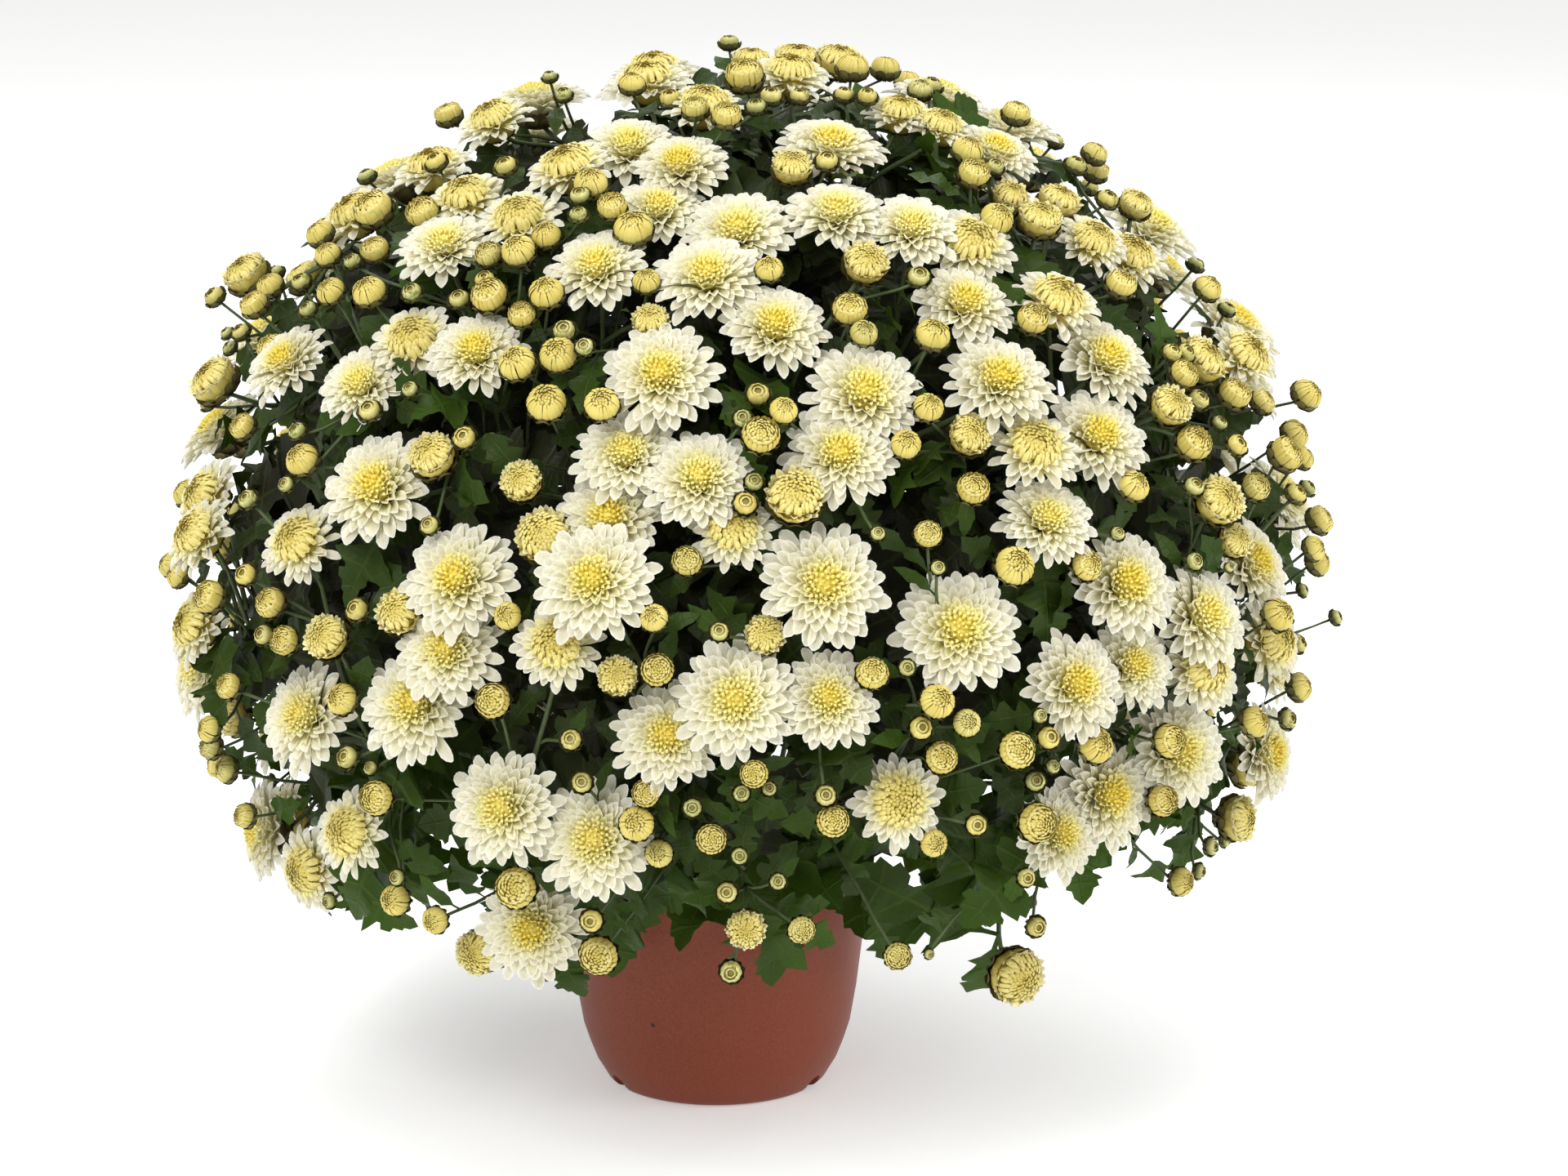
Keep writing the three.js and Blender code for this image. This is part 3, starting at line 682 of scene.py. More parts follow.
def leaf_point(leaf, x, lift=0.0):
    """A point on the midrib of a leaf, a share x of its length from the foot of the blade."""
    reach = (x + LEAF_STALK) * leaf.length
    height = -LEAF_DROOP * (x + LEAF_STALK) ** 2 * leaf.length + lift
    return blend((1, leaf.root), (reach, leaf.along), (height, leaf.upper))


def leaf_at(root, way, turn, length=LEAF_LENGTH):
    frame_round = square_to(way, STEM_GUIDE)
    side = blend((math.cos(turn), frame_round.side), (math.sin(turn), frame_round.across))
    return make_leaf(root, unit(blend((LEAF_ALONG, way), (LEAF_ASIDE, side))), way, length)


def rim_leaf(stem, share, outwards, down, aside, length):
    level = unit((stem.out[0], stem.out[1], 0))
    along = unit(blend((outwards, level), (-down, UP), (aside, cross(UP, level))))
    return make_leaf(between(stem.points[1], stem.points[2], share), along, UP, length)


# %% Lay the leaves of the main stems
for stem in stems:
    stem.node = f"leafy_stem_{stem.index:02d}"
    stem.surface = packed_surface(stem.node)
    _, _, bow, tip = stem.points
    turn = 0
    for share in LEAF_SHARES:
        for _ in range(LEAF_TRIES):
            turn += GOLDEN_ANGLE
            leaf = leaf_at(between(bow, tip, share), towards(bow, tip), turn)
            if lies_on(stem.surface, [leaf_point(leaf, 1, TIP_LIFT)]):
                stem.leaves.append(leaf)
                break
    if stem.out[2] < 0.5:
        rim_leaves = [rim_leaf(stem, *row) for row in RIM_LEAVES]
        stem.leaves += [leaf for leaf in rim_leaves
                        if lies_on(stem.surface, [leaf_point(leaf, 1, TIP_LIFT)])]
print("leaves on the main stems:", [len(stem.leaves) for stem in stems])

# %% [markdown]
# ## More buds and leaves
# A chrysanthemum carries many more buds than open heads. The plain solids leave out the small
# buds, and some young heads at the top and the back. They are laid here by the same rule, in what
# room is left, and each branches from a stalk nearby at a natural slant. Cut leaves stand along
# every stalk, and more of them close the dome between the heads.

# %% More buds
MORE_BUDS = [
    (-36, 470, 12), (-14, 469, 11), (26, 468, 11), (39, 470, 10), (19, 463, 10), (6, 454, 13),
    (-8, 458, 12), (60, 471, 10), (69, 468, 10), (114, 441, 14), (116, 429, 14), (47, 447, 11),
    (128, 434, 9), (131, 414, 8), (-59, 420, 10), (-60, 410, 9), (-94, 435, 11), (-124, 435, 11),
    (-176, 395, 12), (-157, 398, 13), (-161, 391, 9), (-189, 383, 10), (-186, 370, 9), (-172, 376, 13),
    (-136, 376, 10), (-117, 375, 10), (-102, 394, 12), (-77, 404, 13), (-44, 414, 13), (-105, 384, 10),
    (-85, 368, 12), (-31, 383, 12), (-202, 348, 13), (92, 383, 11), (67, 358, 12), (25, 388, 12),
    (147, 366, 14), (185, 381, 14), (212, 350, 10), (220, 349, 10), (215, 338, 13), (221, 329, 11),
    (233, 317, 8), (235, 305, 11), (248, 286, 13), (222, 286, 10), (224, 251, 9), (236, 248, 5),
    (282, 225, 8), (-70, 359, 11), (-58, 350, 9), (20, 331, 11), (15, 316, 9), (28, 317, 12),
    (90, 325, 13), (88, 307, 13), (118, 285, 14), (99, 264, 12), (101, 248, 7), (74, 264, 7),
    (172, 249, 14), (183, 264, 7), (194, 288, 14), (-13, 251, 13), (-28, 225, 12), (2, 218, 9),
    (-27, 199, 14), (73, 197, 14), (89, 200, 8), (95, 172, 11), (115, 175, 12), (105, 157, 14),
    (156, 172, 11), (152, 180, 7), (156, 152, 7), (151, 145, 10), (120, 126, 10), (102, 115, 12),
    (54, 128, 14), (51, 139, 10), (-66, 167, 10), (-63, 144, 10), (-11, 132, 9), (12, 140, 8),
    (25, 141, 7), (-2, 119, 13), (11, 111, 8), (-27, 109, 12), (17, 154, 12), (-33, 138, 12),
    (-57, 81, 11), (5, 90, 10), (40, 73, 12), (7, 56, 11), (29, 96, 8), (84, 63, 12), (100, 61, 5),
    (-129, 81, 12), (-151, 87, 14), (-147, 101, 8), (-174, 185, 14), (-170, 158, 11), (-163, 151, 7),
    (-200, 213, 13), (-210, 216, 10), (-208, 231, 14), (-168, 228, 11), (-227, 191, 12),
    (-213, 245, 11), (-189, 312, 9), (-210, 280, 10), (-194, 287, 8), (-218, 315, 12), (-157, 322, 11),
    (-118, 309, 11), (-130, 266, 9), (-139, 332, 8), (-97, 225, 12), (4, 286, 11), (15, 284, 9),
    (149, 76, 10), (143, 101, 9), (213, 146, 14), (245, 176, 14),
]
print("more buds on the front:", len(MORE_BUDS))

# More behind: stage, count, smallest and largest diameter
MORE_BEHIND = [("bloom", 20, 26, 33), ("half", 8, 18, 24), ("bud", 98, 7, 14)]
NEARBY = 120  # how far off a stalk may be to branch from
MORE_SHARES = (0.25, 0.4, 0.55, 0.7, 0.82)  # of that stalk, where the new one may start


# %% Where the added heads branch off
def branch_off(head):
    """Starts the stalk of a head from a stalk nearby, where it slants off best."""
    foot = foot_of(head)
    best, best_cost = None, math.inf
    for parent in packed_heads:
        if parent.stage == "bud" or math.dist(parent.place, head.place) > NEARBY:
            continue
        end = foot_of(parent)
        way = towards(parent.start, end)
        for share in MORE_SHARES:
            point = between(parent.start, end, share)
            cost = math.dist(point, foot) + SLANT_COST * abs(dot(towards(point, foot), way) - BEST_SLANT)
            if cost < best_cost:
                best, best_cost = (parent, point, way), cost
    parent, head.start, head.trunk_way = best
    head.bunch = parent.bunch


def lay_more(draw):
    more = [make_head("bud", on_dome(across, height), diameter, draw)
            for across, height, diameter in MORE_BUDS]
    for stage, count, smallest, largest in MORE_BEHIND:
        for _ in range(count):
            diameter = smallest + (largest - smallest) * draw()
            place = roomiest(packed_heads + more, diameter / 2, draw,
                             wanted=14, seen=0.2, reach=1 - LOWEST_DRAW)
            more.append(make_head(stage, place, diameter, draw))
    everything = packed_heads + more
    settle(everything, len(packed_heads), rounds=30)
    for head in more:
        face_head(head, draw)
        branch_off(head)
    return more


all_heads = packed_heads + lay_more(make_draw(4711))
print("heads, half-open heads and buds:", [sum(h.stage == s for h in all_heads) for s in STAGES])


# %% Lean to the light
# The heads turn a little further up and to the front, where the light comes from
LIGHT_WAY = unit((0, -0.7, 0.7))
LEAN = 0.45

for head in all_heads:
    head.normal = unit(blend((1, head.normal), (LEAN, LIGHT_WAY)))
print("the heads lean to the light")


# %% Paths of the stalks
STRAIGHT_SHARE = 0.12  # of the path of a main stem, up to its knee


def curve(a, b, c, d):
    """A smooth path from a to d, drawn towards b and c."""
    def path(t):
        s = 1 - t
        point = blend((s ** 3, a), (3 * s * s * t, b), (3 * s * t * t, c), (t ** 3, d))
        way = blend((-s * s, a), (s * s - 2 * s * t, b), (2 * s * t - t * t, c), (t * t, d))
        return point, unit(way)
    return path


def stalk_path(head):
    """A stalk leaves the one below at a slant and turns up into its head."""
    start, end = head.start, foot_of(head)
    length = math.dist(start, end)
    straight = towards(start, end)
    leaving = unit(blend((0.35, head.trunk_way), (0.65, straight)))
    entering = unit(blend((0.3, head.normal), (0.7, straight)))
    return curve(start, blend((1, start), (0.35 * length, leaving)),
                 blend((1, end), (-0.33 * length, entering)), end)


def stem_path(stem):
    """A main stem goes straight up out of the compost to its knee, and from there in a bow."""
    low, knee, bow, tip = stem.points

    def path(t):
        if t < STRAIGHT_SHARE:
            return between(low, knee, t / STRAIGHT_SHARE), towards(low, knee)
        t = (t - STRAIGHT_SHARE) / (1 - STRAIGHT_SHARE)
        point = blend(((1 - t) ** 2, knee), (2 * t * (1 - t), bow), (t * t, tip))
        way = blend((t - 1, knee), (1 - 2 * t, bow), (t, tip))
        return point, unit(way)
    return path


# %% More leaves
# Along the stalks: stage of the head, shares of the stalk, smallest and largest length
STALK_LEAVES = {
    "bloom": ((0.34, 0.52, 0.7, 0.86), 28, 46),
    "half": ((0.3, 0.55, 0.8), 22, 36),
    "bud": ((0.35, 0.7), 13, 24),
}
TRIES_A_LEAF = 8
LEAF_SURROUNDINGS = 95  # how far off a head may be to matter to a leaf
LEAST_ROOM = -2  # a leaf may reach this far into a head
OUTERMOST = 1.02  # level on the dome that a leaf's tip stays under


def room_for(leaf, heads):
    """The least room from the blade to one of the heads."""
    blade = [leaf_point(leaf, x) for x in (0.3, 0.65, 1)]
    return min(math.dist(point, head.place) - 0.95 * head.radius for head in heads for point in blade)


def outdoors(leaf):
    """Whether the leaf's tip would stand out of the dome."""
    return dome_level(leaf_point(leaf, 1)) > OUTERMOST


green = make_draw(99)
more_leaves = []
for head in all_heads:
    path = stalk_path(head)
    near_heads = [h for h in all_heads if math.dist(h.place, head.place) < LEAF_SURROUNDINGS]
    shares, smallest, largest = STALK_LEAVES[head.stage]
    turn = 2 * math.pi * green()
    for share in shares:
        length = smallest + (largest - smallest) * green()
        best, best_room = None, LEAST_ROOM
        for _ in range(TRIES_A_LEAF):
            turn += GOLDEN_ANGLE
            leaf = leaf_at(*path(share), turn, length)
            room = room_for(leaf, near_heads)
            if room > best_room and not outdoors(leaf):
                best, best_room = leaf, room
        if best:
            best.owner = head.bunch
            more_leaves.append(best)
print("leaves on stalks:", len(more_leaves))


# %% Leaves that close the dome
# Seen from anywhere, leaves close the plant between the heads. Points are spread evenly over
# shells of the dome, and each is covered by a leaf from the nearest stalk or stem.
CLOSED_SHELLS = [(0.6, 110), (0.74, 170), (0.87, 200)]  # level on the dome, number of leaves
LOWEST_CLOSED = -0.6
CLOSING_REACH = (14, 80)  # nearest and farthest that a leaf covers a point
CLOSING_LENGTHS = (36, 60)  # shortest and longest


def leaf_starts():
    """Points along the stems and the larger stalks, each with the piece that it belongs to."""
    starts = []
    for stem in stems:
        path = stem_path(stem)
        starts += [(path(0.25 + 0.075 * i)[0], stem) for i in range(11)]
    for head in all_heads:
        if head.stage != "bud":
            path = stalk_path(head)
            starts += [(path(0.1 + 0.1 * i)[0], head.bunch) for i in range(8)]
    return starts


def shell_points(level, count, draw):
    """Points spread over a shell by the golden angle, from its lowest ring to its pole."""
    for i in range(count):
        height = LOWEST_CLOSED + (1 - LOWEST_CLOSED) * (i + 0.5) / count
        angle = i * GOLDEN_ANGLE + 0.4 * draw()
        out = math.sqrt(1 - height * height)
        way = (out * math.cos(angle), out * math.sin(angle), height)
        yield tuple(DOME_CENTRE[k] + level * DOME_SHAPE[k] * way[k] for k in range(3))


# %% Lay the leaves that close the dome
starts = leaf_starts()
closing = 0
for level, count in CLOSED_SHELLS:
    for point in shell_points(level, count, green):
        reachable = [s for s in starts if CLOSING_REACH[0] < math.dist(s[0], point) < CLOSING_REACH[1]]
        if not reachable:
            continue
        root, owner = min(reachable, key=lambda s: math.dist(s[0], point))
        stray = (green() - 0.5, green() - 0.5, green() - 0.5)
        guide = unit(blend((1, dome_normal(point)), (0.7, stray)))
        length = min(max(1.4 * math.dist(root, point), CLOSING_LENGTHS[0]), CLOSING_LENGTHS[1])
        leaf = make_leaf(root, towards(root, point), guide, length)
        leaf.owner = owner
        more_leaves.append(leaf)
        closing += 1
print("leaves that close the dome:", closing)

# %% [markdown]
# ## Petals and florets
# A ray floret is a thin blade: narrow at its foot, widest near its rounded tip, hollowed like a
# spoon and arched along its length. A small grid is enough for one, since a full head has about
# a hundred and thirty. Each row of the grid is laid along an arc from the floret's foot to its tip.

# %% Petal blades
# Share of the length and of the half width, row by row
SPOON = ((0, 0.32), (0.4, 0.64), (0.68, 0.96), (0.85, 1.0), (0.96, 0.7), (1.03, 0.2))
SHORT = ((0, 0.36), (0.45, 0.75), (0.78, 1.0), (0.95, 0.72), (1.03, 0.2))
WRAP = ((0, 0.75), (0.25, 0.98), (0.45, 1.0), (0.65, 0.9), (0.82, 0.68), (0.94, 0.5), (1.0, 0.28))
STRAP = ((0, 0.7), (0.55, 1.0), (0.86, 0.86), (1.0, 0.42))
TONGUE = ((0, 0.9), (0.65, 1.0), (1.0, 0.42))
COLUMNS = 2  # of faces across a blade, one on each side of its midrib


def new_sheet():
    """An empty bmesh with the layers that the finishes read."""
    sheet = bmesh.new()
    sheet.loops.layers.uv.new("blade")
    for name in ("layer", "tint", "ripe_or_sunlit"):
        sheet.verts.layers.float.new(name)
    return sheet


def mark(sheet, points, material, layer=0.0, tint=0.0):
    """Gives new faces their finish, and their points their place in the head."""
    layers = sheet.verts.layers.float
    for point in points:
        point[layers["layer"]] = layer
        point[layers["tint"]] = tint
        for face in point.link_faces:
            face.material_index = material
            face.smooth = True


def add_blade(sheet, rows, shape):
    """Adds a grid and moves its points: shape gives a point from its place across and its row."""
    count = len(rows) - 1
    points = bmesh.ops.create_grid(
        sheet, x_segments=COLUMNS, y_segments=count, size=1, calc_uvs=True)["verts"]
    for point in points:
        point.co = shape(point.co.x, *rows[round((point.co.y + 1) / 2 * count)])
    return points


# %% Arched florets
def floret_shape(azimuth, root, tip, arch, width, cup, lean=0.0):
    """A floret from root to tip, each given as radius and height. Arch is half its turn."""
    chord = math.atan2(tip[1] - root[1], tip[0] - root[0])
    arch = arch if abs(arch) > 0.01 else 0.01
    reach = math.dist(root, tip) / math.sin(arch) / 2
    first = chord + arch
    turned = Matrix.Rotation(azimuth, 3, "Z")

    def shape(across, along, spread):
        turn = first - 2 * arch * along
        half = width * spread
        lift = cup * half * across * across + lean * half * across
        radius = root[0] + reach * (math.sin(first) - math.sin(turn)) - lift * math.sin(turn)
        height = root[1] + reach * (math.cos(turn) - math.cos(first)) + lift * math.cos(turn)
        return turned @ Vector((half * across, radius, height))

    return shape


# %% [markdown]
# ## Full heads
# The florets of a head follow each other at the golden angle, from the outermost, which spread
# level, to the innermost, which are short and stand up. That gives about six layers, none of
# them in line with the one below. Short yellow quills fill the centre. A few patterns are
# made in unit size, turned differently for each head, so no two neighbours look alike.

# %% Quills of the centre
PETAL, QUILL, BALL = 0, 1, 2  # finishes of the flower pieces


def swing(draw, size):
    return size * (2 * draw() - 1)


def add_quill(sheet, azimuth, radius, height, slope, length, thick, tint):
    """A short floret of the centre, wider at its mouth. Its foot keeps one shade."""
    points = bmesh.ops.create_cone(
        sheet, segments=3, radius1=0.6 * thick, radius2=1.1 * thick, depth=length, cap_ends=True)["verts"]
    feet = [point for point in points if point.co.z < 0]
    move = Matrix.Rotation(azimuth, 4, "Z") @ Matrix.Translation((0, radius, height))
    move = move @ Matrix.Rotation(-slope, 4, "X") @ Matrix.Translation((0, 0, length / 2))
    bmesh.ops.transform(sheet, matrix=move, verts=points)
    mark(sheet, points, QUILL, 1.0, tint)
    for point in feet:
        point[sheet.verts.layers.float["layer"]] = 0.1


def add_core(sheet, radius, top, material, layer):
    """The rounded ground under the florets, up to a height."""
    core = bmesh.ops.create_uvsphere(sheet, u_segments=10, v_segments=6, radius=radius)["verts"]
    bmesh.ops.scale(sheet, verts=core, vec=(1, 1, 0.6))
    bmesh.ops.translate(sheet, verts=core, vec=(0, 0, top - 0.6 * radius))
    mark(sheet, core, material, layer)


def add_quills(sheet, radius, height, count, draw):
    """A low dome of quills, paler outwards, with a dimple in its middle."""
    add_core(sheet, 1.15 * radius, height, QUILL, 0.3)
    for i in range(count):
        out = math.sqrt((i + 0.5) / count)
        top = height + 0.22 * radius * (1 - out * out) - (0.22 * radius if out < 0.2 else 0)
        add_quill(sheet, i * GOLDEN_ANGLE, radius * out, top - 0.1, 0.9 * out + swing(draw, 0.2),
                  0.14 + swing(draw, 0.02), 0.92 * radius / math.sqrt(count), out ** 2 + swing(draw, 0.15))


# %% Curls that close a centre
def add_curls(sheet, count, edge, low, high, draw):
    """Florets that curl inwards over each other, from the edge of a flat dome to a small dimple."""
    def level(radius):
        share = radius / edge
        return low + (high - low) * (1 - 0.42 * share ** 4 - 0.3 * max(0.0, 1 - share / 0.22))

    for k in range(count):
        radius = edge * math.sqrt(1 - 0.985 * (k + 0.5) / count)
        inward = max(radius - (0.2 + 0.05 * draw()) * edge, 0.1 * radius)
        root = (radius, level(radius) - 0.16 * edge)
        tip = (inward, level(inward) + 0.03 + swing(draw, 0.025))
        shape = floret_shape(k * GOLDEN_ANGLE + swing(draw, 0.12), root, tip, -0.75,
                             1.05 * edge / math.sqrt(count), 0.5, swing(draw, 0.2))
        mark(sheet, add_blade(sheet, TONGUE, shape), BALL, 0.3 + 0.4 * (1 - radius / edge), draw())


# %% Full head patterns
def add_petals(sheet, count, inner_out, height, draw):
    """Petals from the spreading outermost one to those that end at inner_out, on a low dome."""
    for k in range(count):
        place = k / (count - 1)
        out = 1.0 - (1.0 - inner_out) * place ** 0.9 + swing(draw, 0.045)
        rise = 0.02 + height * max(0.0, 1 - out * out) ** 0.8 + swing(draw, 0.03)
        root = (0.24 - 0.12 * place, -0.08 + 0.1 * place)
        width = 0.11 - 0.038 * place + swing(draw, 0.01)
        shape = floret_shape(k * GOLDEN_ANGLE + swing(draw, 0.1), root, (out, rise),
                             0.38 - 0.15 * place + swing(draw, 0.14), width, 0.5 + 0.3 * place,
                             swing(draw, 0.3))
        rows = SPOON if place < 0.5 else SHORT
        mark(sheet, add_blade(sheet, rows, shape), PETAL, place, draw())


def open_pattern(name, petals, draw):
    """A full head of unit radius."""
    sheet = new_sheet()
    add_petals(sheet, petals, 0.22, 0.42, draw)
    add_quills(sheet, 0.25, 0.39, 60, draw)
    return patterned(name, sheet)


def young_pattern(name, petals, draw):
    """A full head whose middle still curls inwards."""
    sheet = new_sheet()
    add_petals(sheet, petals, 0.5, 0.5, draw)
    add_core(sheet, 0.5, 0.3, BALL, 0.9)
    add_curls(sheet, 108, 0.54, 0.22, 0.52, draw)
    return patterned(name, sheet)


def patterned(name, sheet):
    data = bpy.data.meshes.new(name)
    sheet.to_mesh(data)
    sheet.free()
    return data


def triangles(data):
    return sum(len(face.vertices) - 2 for face in data.polygons)


shape_draw = make_draw(5)
OPEN_FLOWERS = [open_pattern(f"open_{i}", 128 + 3 * i, shape_draw) for i in range(4)]
YOUNG_FLOWERS = [young_pattern(f"young_{i}", 68 + 4 * i, shape_draw) for i in range(3)]
print("triangles in a full head:", [triangles(data) for data in OPEN_FLOWERS + YOUNG_FLOWERS])

# %% [markdown]
# ## Half-open heads and buds
# A half-open head is a golden disc of florets that still curl inwards, with a short pale fringe
# round its rim. A bud is a tighter ball: the outer florets stand up from the bract cup and bend
# over the rim, and small curls close the top but for a dimple. Each floret is hollowed across,
# so the joints between them show as grooves.

# %% Bud pattern
# Rings of florets, from the cup to the dimple: outline, count, foot, tip and arch of each floret
CLOSED_RINGS = (
    (WRAP, 22, (0.8, -0.52), (0.54, 0.57), -0.98),
)
OPENING_RINGS = (
    (STRAP, 20, (0.8, -0.52), (0.78, 0.46), -0.72),
    (TONGUE, 18, (0.84, 0.2), (0.62, 0.54), -0.52),
)
GREEN_RINGS = (
    (STRAP, 11, (0.8, -0.5), (0.52, 0.4), -0.8),
    (TONGUE, 8, (0.52, 0.15), (0.26, 0.36), -0.5),
)
TUB_RING = (STRAP, 15, (0.56, -0.5), (0.92, 0.3), -0.4)


def add_ring(sheet, row, ring, draw, flare=0.0):
    """One ring of overlapping florets. Flare opens the ring towards the rim of the ball."""
    rows, count, root, tip, arch = row
    width = 1.3 * math.pi * max(root[0], tip[0]) / count
    for i in range(count):
        azimuth = 2 * math.pi * (i + 0.5 * ring) / count + swing(draw, 0.05)
        end = (tip[0] * (1 + 0.16 * flare) + swing(draw, 0.03), tip[1] + 0.05 * flare + swing(draw, 0.04))
        shape = floret_shape(azimuth, root, end, arch * (1 - 0.3 * flare), width, 0.36, swing(draw, 0.15))
        mark(sheet, add_blade(sheet, rows, shape), BALL, min(0.25 * ring, 0.7), draw())


def bud_pattern(name, rings, hole, flare, curls, draw):
    """A ball of florets in rings, filled up with curls. Curls gives their number and reach."""
    sheet = new_sheet()
    ground = bmesh.ops.create_circle(
        sheet, segments=10, radius=0.7, cap_ends=True, matrix=Matrix.Translation((0, 0, hole)))["verts"]
    mark(sheet, ground, BALL, 1.0)
    for ring, row in enumerate(rings):
        add_ring(sheet, row, ring, draw, flare)
    if curls:
        add_curls(sheet, *curls, hole - 0.04, 0.6, draw)
    return patterned(name, sheet)


# Ripe buds are closed but for a dimple or open to a tub, green ones stay open round a dark hole
RIPE_BUDS = [bud_pattern(f"closed_bud_{i}", CLOSED_RINGS, 0.4, 0.0, (34, 0.62), shape_draw)
             for i in range(2)]
RIPE_BUDS += [bud_pattern(f"tub_bud_{i}", OPENING_RINGS, 0.38, 0.3 + 0.5 * i, (50, 0.76), shape_draw)
              for i in range(2)]
GREEN_BUDS = [bud_pattern(f"green_bud_{i}", GREEN_RINGS, 0.16, 0.0, None, shape_draw) for i in range(2)]


# %% Half-open pattern
def half_open_pattern(name, petals, draw):
    """A flat ball of curls in a tub of upright florets, with a short fringe."""
    sheet = new_sheet()
    add_ring(sheet, TUB_RING, 0, draw)
    for k in range(petals):
        place = k / (petals - 1)
        tip = (1.0 - 0.12 * place + swing(draw, 0.06), 0.26 + 0.2 * place + swing(draw, 0.07))
        shape = floret_shape(k * GOLDEN_ANGLE, (0.6, -0.3 + 0.14 * place), tip, 0.1 + swing(draw, 0.3),
                             0.12 + swing(draw, 0.02), 0.6, swing(draw, 0.25))
        mark(sheet, add_blade(sheet, SHORT, shape), PETAL, 0.6 + 0.3 * place, draw())
    add_core(sheet, 0.78, 0.26, BALL, 0.75)
    add_curls(sheet, 120, 0.84, 0.1, 0.56, draw)
    return patterned(name, sheet)


HALF_OPEN = [half_open_pattern(f"half_open_{i}", 24 + 7 * i, shape_draw) for i in range(3)]
print("triangles in a bud, a green bud and a half-open head:",
      [triangles(kind[0]) for kind in (RIPE_BUDS, GREEN_BUDS, HALF_OPEN)])

# %% [markdown]
# ## Green parts
# Below each head sits a cup of overlapping bracts, on a ribbed stalk. The leaves are cut into
# two pairs of toothed lobes that point forwards, with a narrow foot. One grid makes a leaf: its
# rows follow the teeth and lean back towards the midrib, as the side veins do.

# %% Bract cups
STALK, LEAF, BRACT = 0, 1, 2  # finishes of the green pieces
# Profile of the cup, number of bracts, and where a bract starts and ends, for each stage
CUPS = {
    "bloom": (((0.14, -0.34), (0.2, -0.26), (0.27, -0.15), (0.24, -0.05)), 10, (0.16, -0.3), (0.4, -0.06)),
    "half": (((0.16, -0.66), (0.44, -0.6), (0.68, -0.45), (0.8, -0.24)), 12, (0.3, -0.64), (0.92, -0.06)),
    "bud": (((0.16, -0.94), (0.5, -0.84), (0.84, -0.56), (0.96, -0.2)), 10, (0.4, -0.88), (0.98, -0.1)),
}


def spun(sheet, profile, steps):
    """A profile of radii and heights, spun round the axis and closed."""
    chain = [sheet.verts.new((radius, 0, height)) for radius, height in profile]
    edges = [sheet.edges.new(pair) for pair in zip(chain, chain[1:])]
    bmesh.ops.spin(sheet, geom=chain + edges, cent=(0, 0, 0), axis=(0, 0, 1), angle=2 * math.pi,
                   steps=steps, use_merge=True)
    bmesh.ops.remove_doubles(sheet, verts=sheet.verts, dist=1e-5)
    bmesh.ops.recalc_face_normals(sheet, faces=sheet.faces)


def cup_pattern(stage, draw):
    profile, bracts, root, tip = CUPS[stage]
    sheet = new_sheet()
    spun(sheet, profile, bracts)
    for face in sheet.faces:
        face.material_index = BRACT
        face.smooth = True
    for k in range(bracts):
        end = (tip[0] + swing(draw, 0.03), tip[1] + swing(draw, 0.06))
        azimuth = 2 * math.pi * k / bracts + swing(draw, 0.08)
        shape = floret_shape(azimuth, root, end, -0.55, 3.9 * tip[0] / bracts, -0.25)
        mark(sheet, add_blade(sheet, STRAP, shape), BRACT, 0.5, draw())
    return patterned("cup_" + stage, sheet)


CUP_PATTERNS = {stage: cup_pattern(stage, shape_draw) for stage in CUPS}
print("triangles in a cup:", {stage: triangles(data) for stage, data in CUP_PATTERNS.items()})


# %% Outlines of leaves
# Along the outline from the foot of the stalk to the tip, and half the width there
LEAF_OUTLINE = (
    (-0.26, 0.022), (-0.1, 0.018), (0.0, 0.045), (0.04, 0.15), (0.08, 0.25), (0.12, 0.27), (0.15, 0.34),
    (0.2, 0.39), (0.22, 0.35), (0.265, 0.35), (0.3, 0.26), (0.33, 0.15), (0.38, 0.14), (0.41, 0.24),
    (0.45, 0.3), (0.47, 0.38), (0.53, 0.42), (0.55, 0.37), (0.6, 0.38), (0.64, 0.28), (0.67, 0.18),
    (0.7, 0.17), (0.73, 0.25), (0.79, 0.26), (0.8, 0.2), (0.87, 0.19), (0.88, 0.13), (0.94, 0.1),
    (1.0, 0.006),
)
SMALL_OUTLINE = (
    (-0.26, 0.03), (0.0, 0.05), (0.08, 0.22), (0.18, 0.34), (0.26, 0.32), (0.33, 0.15), (0.4, 0.2),
    (0.5, 0.38), (0.56, 0.34), (0.66, 0.18), (0.76, 0.24), (0.85, 0.14), (0.93, 0.08), (1.0, 0.01),
)
LEAFLET_OUTLINE = (
    (-0.26, 0.03), (0.0, 0.05), (0.2, 0.17), (0.4, 0.22), (0.55, 0.26), (0.6, 0.2), (0.8, 0.14), (1.0, 0.01),
)
VEIN_SLANT = 0.3


# %% Leaf pattern
def leaf_pattern(name, rows, wave, draw):
    """A leaf of unit length, from the foot of its stalk at the origin along X, upper face up."""
    phase = 6 * draw()

    def shape(across, x, half):
        if x > 0.02 and half > 0.1:
            half *= 1 + swing(draw, 0.05)
        x -= VEIN_SLANT * half * (1 - abs(across))
        y = half * across
        ripple = wave * math.sin(13 * x + phase + 2 * across) * abs(across) * half
        height = -LEAF_DROOP * (x + LEAF_STALK) ** 2 + LEAF_FOLD * abs(y) - 0.35 * y * y + ripple
        return Vector((x + LEAF_STALK, -y, height))

    sheet = new_sheet()
    points = add_blade(sheet, rows, shape)
    mark(sheet, points, LEAF, 0.0, 0.0)
    uv = sheet.loops.layers.uv["blade"]
    for face in sheet.faces:
        for loop in face.loops:
            row = round(loop[uv].uv.y * (len(rows) - 1))
            loop[uv].uv.y = rows[row][0]
    return patterned(name, sheet)


